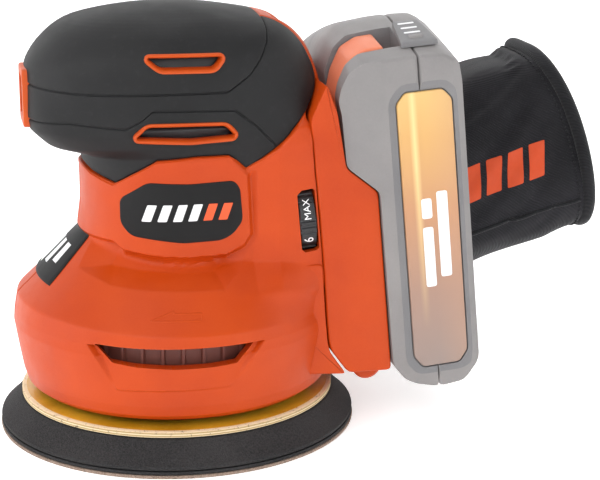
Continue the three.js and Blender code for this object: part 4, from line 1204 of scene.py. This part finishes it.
def build_battery():
    tool_case = bevelled_slab("tool_case_skin", rounded(TOOL_CASE, 1.5, 1.4), -38, 38, 1.5, CASE, "battery",
                              between=16, place=shouldered, sharp=24)
    outline = rounded(OUTER_CASE, 1.8, 1.4)
    outer_case = bevelled_slab("outer_case_skin", outline, -BATTERY_HALF, BATTERY_HALF, 1.5, CASE, "battery",
                               between=16, place=shouldered, sharp=24)
    for case in (tool_case, outer_case):
        facet_case(case)
        for side in (-1, 1):
            carve(case, octagon_pocket(side), sharp=24)
    for block in (battery_box((40, 84.8), (-29, -13), (121.5, 150), CASE_DARK),
                  battery_box((40, 69.5), (-29, -13), (106, 150), CASE_DARK),
                  battery_box((40, 60.9), (-21, 21), (100, 121), CASE_DARK),
                  battery_box((69.8, 73.2), (-18.5, 18.5), (-5, 77.6), CASE_DARK),
                  battery_box((72.0, 75.2), (-22.5, 22.5), (-5, 77.6), CASE_DARK)):
        carve(tool_case, block, sharp=24)
    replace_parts(tool_case, "battery_tool_case")
    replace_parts(outer_case, "battery_outer_case")
    for name, side in (("left", -1), ("right", 1)):
        build_inlay(name, side)
    build_latch()
    build_gauge()


def build_inlay(name, side):
    """Amber octagon with a soft rounded edge and a shallow lengthwise fold."""
    loop = rounded(INLAY, 1.0, 1.2)
    centre = loop.mean(axis=0)
    loops = [np.stack([loop[:, 0], np.full(len(loop), side * 36.4), loop[:, 1]], -1)]
    for scale, lift in ((1.0, 37.0), (0.985, 37.32), (0.95, 37.42), (0.8, 37.5), (0.55, 37.55), (0.3, 37.55),
                        (0.02, 37.55)):
        inner = centre + (loop - centre) * (scale, 1 - (1 - scale) * 0.35 if scale > 0.9 else scale)
        fold = 0.22 * np.clip(1 - np.abs(inner[:, 0] - 84.3) / 2.2, 0, 1) * ramp(inner[:, 1], 58, 70)
        loops.append(np.stack([inner[:, 0], side * (lift + fold), inner[:, 1]], -1))
    count = len(loop)
    flat = leaning(np.concatenate(loops))
    faces = list(grid_faces(len(loops), count, wrap=True))
    faces.append(list(range((len(loops) - 1) * count, len(loops) * count)))
    inlay = tidy_normals(make(f"inlay_{name}", flat, faces, AMBER, "battery"), 30)
    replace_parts(inlay, f"battery_inlay_{name}")
    marks = ([(85.0, 45), (88.6, 45), (88.6, 66), (85.0, 66)], [(90.4, 48), (94.2, 48), (94.2, 78), (90.4, 78)],
             [(85.0, 69), (88.6, 69), (88.6, 76), (85.0, 76)])
    for i, corners in enumerate(marks):
        edge = rounded(corners, 0.8, 0.6)
        rings = [np.stack([grown(edge, -g)[:, 0], np.full(len(edge), side * y), grown(edge, -g)[:, 1]], -1)
                 for g, y in ((0, 37.3), (0, 37.7), (0.1, 37.75))]
        faces = list(grid_faces(len(rings), len(edge), wrap=True))
        faces.append(list(range((len(rings) - 1) * len(edge), len(rings) * len(edge))))
        mark = make(f"inlay_mark_{name}_{i + 1}", leaning(np.concatenate(rings)), faces, WHITE, "battery")
        tidy_normals(mark)


def build_latch():
    """Salmon release wedge in its channel, and the salmon floor of the channel beyond it."""
    outline = [(60.6, 107.6), (63.5, 107.6), (65.8, 121.8), (68, 124.6), (78.3, 124.6), (78.3, 128.4),
               (72, 128.2), (66.6, 125.6), (62.3, 118.5), (60.2, 112)]

    def sloped(points):
        moved = np.array(points, float)
        moved[:, 2] += (moved[:, 1] + 21) * 0.16 * ramp(moved[:, 2], 112, 124)
        return leaning(moved)

    wedge = bevelled_slab("latch_skin", rounded(outline, 1.2, 0.5), -28.4, -13.6, 0.9, LATCH, "latch",
                          between=6, place=sloped)
    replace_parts(wedge, "battery_latch")
    floor = rounded([(72.6, 120.7), (84.5, 120.7), (84.5, 122.3), (72.6, 122.3)], 0.4, 0.5)
    piece = bevelled_slab("latch_floor", floor, -28.7, -13.3, 0.2, LATCH, "battery", place=leaning)


def roof_slab(name, corners, low, high, bevel, material, body):
    """A thin slab on the roof: outline in (t, y), rounded top edge, following the slope."""
    loop = rounded(corners, 0.7, 0.5)
    steps = [(0, low), (0, high - bevel), (-0.3 * bevel, high - 0.3 * bevel), (-bevel, high)]
    rings = []
    for growth, lift in steps:
        edge = grown(loop, growth)
        rings.append(np.stack([edge[:, 0], edge[:, 1], roof(edge[:, 1]) + lift], -1))
    centre = loop.mean(axis=0)
    inner = grown(loop, -bevel)
    for scale in (0.8, 0.6, 0.4, 0.2, 0.02):
        edge = centre + (inner - centre) * scale
        rings.append(np.stack([edge[:, 0], edge[:, 1], roof(edge[:, 1]) + high], -1))
    count = len(loop)
    faces = list(grid_faces(len(rings), count, wrap=True))
    faces += [list(range(count)), list(range((len(rings) - 1) * count, len(rings) * count))]
    return tidy_normals(make(name, leaning(np.concatenate(rings)), faces, material, body), 40)


def build_gauge():
    """Level gauge on the near slope of the roof: a raised panel with three bars and a button."""
    panel = roof_slab("gauge_panel_skin", [(85.6, -13.2), (94.6, -13.2), (96.4, -31.4), (83.4, -31.4)], 0.25,
                      1.9, 0.7, CASE_DARK, "battery")
    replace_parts(panel, "gauge_panel")
    for i in range(3):
        y = -16 - 3.8 * i
        corners = [(86.7, y), (92.4, y), (92.4, y - 0.9), (86.7, y - 0.9)]
        bar = roof_slab(f"gauge_bar_{i + 1}", corners, 1.6, 2.1, 0.15, WHITE, "battery")
    corners = [(87.2, -26.9), (92.2, -26.9), (92.2, -28.9), (87.2, -28.9)]
    button = roof_slab("gauge_button_skin", corners, 1.0, 2.6, 0.4, CASE, "gauge")
    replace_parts(button, "gauge_button")


# ---------------------------------------------------------------- dust bag
BAG_Y, BAG_HALF, BAG_LOW, BAG_HIGH, BAG_END = 71.5, 28.0, -9.0, 69.0, 179.0
END_BOW = 5.0  # how far the closed end's middle stands out beyond its top and bottom edges


def bag_ring(a, count):
    """One section of the bag across its length: round at the neck, a plump rounded rectangle beyond."""
    grow = ramp(a, 84, 101)
    turn = np.linspace(0, 2 * math.pi, count, endpoint=False)
    high = BAG_HIGH - 3.0 * ramp(a, 150, BAG_END)
    middle = 30.0 + (0.5 * (BAG_LOW + high) - 30.0) * grow
    centre = 58.0 + (BAG_Y - 58.0) * grow
    half_y = 18.0 + (BAG_HALF - 1.2 - 18.0) * grow
    half_b = 18.0 + (0.5 * (high - BAG_LOW) - 1.2 - 18.0) * grow
    power = 2 + 1.7 * grow
    cos, sin = np.cos(turn), np.sin(turn)
    reach = (np.abs(cos) ** power + np.abs(sin) ** power) ** (-1 / power)
    bow = END_BOW * ramp(a, 120, BAG_END) * (1 - (np.abs(sin) * reach) ** 2)
    return np.stack([a + bow, centre + half_y * cos * reach, middle + half_b * sin * reach], -1)


def bag_cloth(piece, held):
    """Lets the fabric billow and sag a little under its own weight, then fixes the result."""
    group = piece.vertex_groups.new(name="held")
    group.add(held, 1.0, "REPLACE")
    cloth = piece.modifiers.new("cloth", "CLOTH")
    settings = cloth.settings
    settings.quality = 8
    settings.mass = 0.25
    settings.tension_stiffness = settings.compression_stiffness = 12
    settings.shear_stiffness = 6
    settings.bending_stiffness = 0.9
    settings.vertex_group_mass = "held"
    settings.use_pressure = True
    settings.uniform_pressure_force = 3.5
    settings.effector_weights.gravity = 0.15
    cloth.collision_settings.use_collision = False
    scene = bpy.context.scene
    for step in range(1, 21):
        scene.frame_set(step)
    result = bpy.data.meshes.new_from_object(piece.evaluated_get(bpy.context.evaluated_depsgraph_get()))
    before = np.array([v.co for v in piece.data.vertices])
    after = np.array([v.co for v in result.vertices])
    piece.modifiers.clear()
    piece.vertex_groups.clear()
    shift = after - before
    size = np.linalg.norm(shift, axis=1, keepdims=True)
    shift *= np.minimum(1, 0.0028 / np.maximum(size, 1e-9))
    for vert, place in zip(piece.data.vertices, before + shift):
        vert.co = place
    scene.frame_set(1)


def creased(points):
    """Sewn folds: drag lines from the corners and slack along the lower seam."""
    a, y, b = np.moveaxis(points, -1, 0)
    body = ramp(a, 100, 115)
    near_end = ramp(a, 150, 178)
    drag = 1.1 * np.sin((b * 0.9 + a * 0.35) / 7.5) * near_end
    slack = 0.9 * np.sin(a / 9.0 + b / 14.0) * body * ramp(a, 100, 120)
    dent = -2.2 * np.exp(-(((a - 150) / 16) ** 2 + ((b - 56) / 10) ** 2))
    side = np.sign(y - BAG_Y) * ramp(np.abs(y - BAG_Y), 12, 24)
    y = y + side * (0.5 * drag + 0.6 * slack + dent)
    top = np.sign(b - 30) * ramp(np.abs(b - 30), 25, 36)
    b = b + top * (0.8 * np.sin(a / 8.0) * body + 0.5 * drag)
    return np.stack([a, y, b], -1)


def laid_flat(places):
    """The bag frame's numbers for places in metres, the reverse of rising."""
    return tilted(np.array(places) / MM, -BAG_TILT)


def on_bag(points):
    """Moves bag-frame points onto the settled fabric."""
    fabric = bpy.data.objects["bag_fabric_shell"]
    tree = BVHTree.FromObject(fabric, bpy.context.evaluated_depsgraph_get())
    return laid_flat([tree.find_nearest(Vector(spot) * MM)[0] for spot in rising(points)])


def build_bag():
    count = 132
    lengths = np.concatenate([[79.2, 80.4, 82.2, 84], np.linspace(86, BAG_END - 2, 58)])
    rings = [bag_ring(a, count) for a in lengths]
    last = rings[-1]
    middle = last.mean(axis=0)
    closing = ((0.985, 1.2), (0.95, 2.0), (0.85, 3.2), (0.7, 4.4), (0.5, 5.4), (0.3, 6.0), (0.1, 6.2))
    for scale, back in closing:
        ring_end = middle + (last - middle) * scale
        ring_end[:, 0] += back
        rings.append(ring_end)
    grid = np.stack(rings)
    points = rising(grid).reshape(-1, 3)
    faces = list(grid_faces(len(rings), count, wrap=True))
    faces.append(list(range((len(rings) - 1) * count, len(rings) * count)))
    bag = make("bag_fabric_shell", points, faces, TWILL, "bag", sharp=60)
    held = list(range(4 * count)) + list(range((len(lengths) - 4) * count, (len(lengths) + 2) * count))
    tidy_normals(bag, 60)
    bag_cloth(bag, held)
    flat = laid_flat([v.co for v in bag.data.vertices])
    for vert, spot in zip(bag.data.vertices, rising(creased(flat))):
        vert.co = Vector(spot) * MM
    tidy_normals(bag, 60)
    finer = bag.modifiers.new("finer", "SUBSURF")
    finer.levels = finer.render_levels = 1
    bag.data = applied(bag)
    bag.modifiers.clear()
    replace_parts(bag, "dust_bag")
    build_piping()
    build_bag_mark()


def tube(name, path, radius, material, body, closed=True, sides=16):
    """A round tube along a path in the row frame."""
    path = np.asarray(path, float)
    ahead = np.roll(path, -1, axis=0) - np.roll(path, 1, axis=0)
    if not closed:
        ahead[0], ahead[-1] = path[1] - path[0], path[-1] - path[-2]
    ahead /= np.linalg.norm(ahead, axis=1, keepdims=True)
    middle = path.mean(axis=0)
    out = path - middle
    out -= ahead * np.sum(out * ahead, axis=1, keepdims=True)
    out /= np.maximum(np.linalg.norm(out, axis=1, keepdims=True), 1e-9)
    beside = np.cross(ahead, out)
    turn = np.linspace(0, 2 * math.pi, sides, endpoint=False)
    grid = (path[:, None] + radius * (np.cos(turn)[None, :, None] * out[:, None]
                                      + np.sin(turn)[None, :, None] * beside[:, None]))
    rows = np.concatenate([grid, grid[:1]]) if closed else grid
    faces = grid_faces(len(rows), sides, wrap=True)
    return tidy_normals(make(name, rows.reshape(-1, 3), faces, material, body), 50)


def build_piping():
    """Rolled welt round the closed end, with the lower seam and its stitches."""
    ring_end = bag_ring(BAG_END, 220)
    welt = tube("bag_welt", rising(ring_end), 2.6, PIPING, "bag", sides=20)
    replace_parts(welt, "bag_piping")
    stitch_line = on_bag(bag_ring(BAG_END - 4.4, 110))
    points, faces = [], []
    for i in range(0, 110, 1):
        start = stitch_line[i]
        end = stitch_line[(i + 1) % 110]
        points_from, points_to = start + (end - start) * 0.12, start + (end - start) * 0.72
        add_stitch(points, faces, points_from, points_to)
    stitches = make("bag_stitches", rising(np.array(points)), faces, PIPING, "bag")
    tidy_normals(stitches)
    for name, side in (("bag_seam_left", -1), ("bag_seam_right", 1)):
        a = np.linspace(104, BAG_END - 1, 60)
        y = np.full(60, BAG_Y + side * BAG_HALF)
        path = on_bag(np.stack([a, y, 7.5 - 2.5 * ramp(a, 104, BAG_END)], -1))
        seam = tube(name, rising(path), 0.9, PIPING, "bag", closed=False, sides=10)


def add_stitch(points, faces, start, end, size=0.38, proud=0.35):
    """One short thread: a small six-sided rod with tapered ends."""
    middle = np.array((start[0], BAG_Y, 0.5 * (BAG_LOW + BAG_HIGH)))
    out = start - middle
    out[0] = 0
    out /= np.linalg.norm(out)
    ahead = (end - start) / np.linalg.norm(end - start)
    beside = np.cross(out, ahead)
    first = len(points)
    for part, scale in ((0, 0.35), (0.2, 1), (0.8, 1), (1, 0.35)):
        spot = start + (end - start) * part + out * proud
        for k in range(6):
            angle = math.pi / 3 * k
            points.append(spot + size * scale * (math.cos(angle) * out + math.sin(angle) * beside))
    for ring_index in range(3):
        for k in range(6):
            a, b = first + 6 * ring_index + k, first + 6 * ring_index + (k + 1) % 6
            faces.append((a, b, b + 6, a + 6))
    faces.append(tuple(range(first, first + 6)))
    faces.append(tuple(range(first + 18, first + 24)))


def build_bag_mark():
    """Generic orange bars printed on the near side of the bag."""
    target = bpy.data.objects["bag_fabric_shell"]
    tree = BVHTree.FromObject(target, bpy.context.evaluated_depsgraph_get())
    spans = [(117 + 9 * i, 123.5 + 9 * i, 20, 34) for i in range(6)]
    for i, (a0, a1, b0, b1) in enumerate(spans):
        corners = rounded([(a0 - 2, b0), (a1 - 2, b0), (a1 + 1.5, b1), (a0 + 1.5, b1)], 0.5, 0.6)
        centre = corners.mean(axis=0)
        rings = [centre + (corners - centre) * scale for scale in (1, 0.97, 0.8, 0.6, 0.4, 0.2, 0.03)]
        points = []
        for k, loop in enumerate(rings):
            for a, b in loop:
                start = Vector(rising((a, 20.0, b))) * MM
                hit = tree.ray_cast(start, Vector((0, 1, 0)))[0]
                lift = 0.05 if k == 0 else 0.16
                points.append((hit.x / MM, hit.y / MM - lift, hit.z / MM))
        faces = list(grid_faces(len(rings), len(corners), wrap=True, flip=True))
        faces.append(list(range((len(rings) - 1) * len(corners), len(rings) * len(corners))))
        mark = make(f"bag_bar_{i + 1}", points, faces, ORANGE_CLOTH, "bag")
        tidy_normals(mark)


# ---------------------------------------------------------------- parts kept from the frame
def finish_frame_parts():
    finishes = {
        STEEL: ("eccentric_weight", "lower_bearing", "upper_bearing", "pad_bearing", "pad_hub", "pad_screw",
                "motor_rotor", "housing_screw_1", "housing_screw_2", "housing_screw_3"),
        COPPER: ("motor_stator",),
        BLACK: ("motor_bracket", "switch_module", "bearing_seat", "speed_pot", "terminal_block", "dust_duct",
                "bag_collar"),
        BOARD: ("control_board", "battery_board"),
        WRAP: tuple(f"battery_cell_{i + 1}" for i in range(5)),
    }
    for material, names in finishes.items():
        for name in names:
            piece = nodes[name]
            for slot in piece.material_slots:
                slot.material = material


# ---------------------------------------------------------------- surroundings
def build_floor():
    """Seamless pale floor that curves up all round, far from the tool."""
    flat_reach, bend, wall, spokes = 2.4, 1.2, 3.2, 72
    profile = [(0.001, 0.0), (0.5, 0.0), (flat_reach, 0.0)]
    for angle in np.linspace(0.1, math.pi / 2, 14):
        profile.append((flat_reach + bend * math.sin(angle), bend * (1 - math.cos(angle))))
    profile.append((flat_reach + bend, wall))
    turn = np.linspace(0, 2 * math.pi, spokes, endpoint=False)
    rings = [np.stack([r * np.cos(turn), r * np.sin(turn), np.full(spokes, z)], -1) for r, z in profile]
    mesh = bpy.data.meshes.new("floor_sweep")
    faces = grid_faces(len(profile), spokes, wrap=True).tolist()
    mesh.from_pydata(np.concatenate(rings).tolist(), [], faces)
    mesh.shade_smooth()
    mesh.materials.append(FLOOR_PAPER)
    floor = bpy.data.objects.new("floor_sweep", mesh)
    bpy.context.scene.collection.objects.link(floor)


def area_light(name, place, target, size, power):
    lamp = bpy.data.lights.new(name, "AREA")
    lamp.shape = "RECTANGLE"
    lamp.size, lamp.size_y = size
    lamp.energy = power
    holder = bpy.data.objects.new(name, lamp)
    bpy.context.scene.collection.objects.link(holder)
    holder.location = place
    holder.rotation_euler = (Vector(target) - Vector(place)).to_track_quat("-Z", "Y").to_euler()


def build_lights():
    middle = (0.03, 0.0, 0.07)
    area_light("key", (-0.55, -0.75, 0.95), middle, (0.9, 0.7), 5.4)
    area_light("fill", (0.9, -0.7, 0.5), middle, (0.9, 0.9), 0.9)
    area_light("top", (0.0, 0.25, 1.2), middle, (1.3, 1.1), 7.4)
    area_light("left", (-0.9, -0.1, 0.35), middle, (0.5, 0.8), 1.9)
    world = bpy.data.worlds.new("studio")
    world.use_nodes = True
    world.node_tree.nodes["Background"].inputs["Color"].default_value = (1, 1, 1, 1)
    world.node_tree.nodes["Background"].inputs["Strength"].default_value = 0.14
    bpy.context.scene.world = world
    bpy.context.scene.view_settings.view_transform = "Standard"


def build_camera():
    data = bpy.data.cameras.new("camera")
    data.lens, data.sensor_width = 102.84, 36
    camera = bpy.data.objects.new("camera", data)
    bpy.context.scene.collection.objects.link(camera)
    camera.location = (-0.0807, -0.5741, 0.2198)
    camera.rotation_euler = (math.radians(90 - 15.12), 0, math.radians(-12.33))
    bpy.context.scene.camera = camera


build_shells()
build_grip()
build_spine()
build_plates()
build_front_label()
build_rear_housing()
build_pad()
build_fan()
build_dial()
build_nose_switch()
build_battery()
build_bag()
finish_frame_parts()
build_floor()
build_lights()
build_camera()
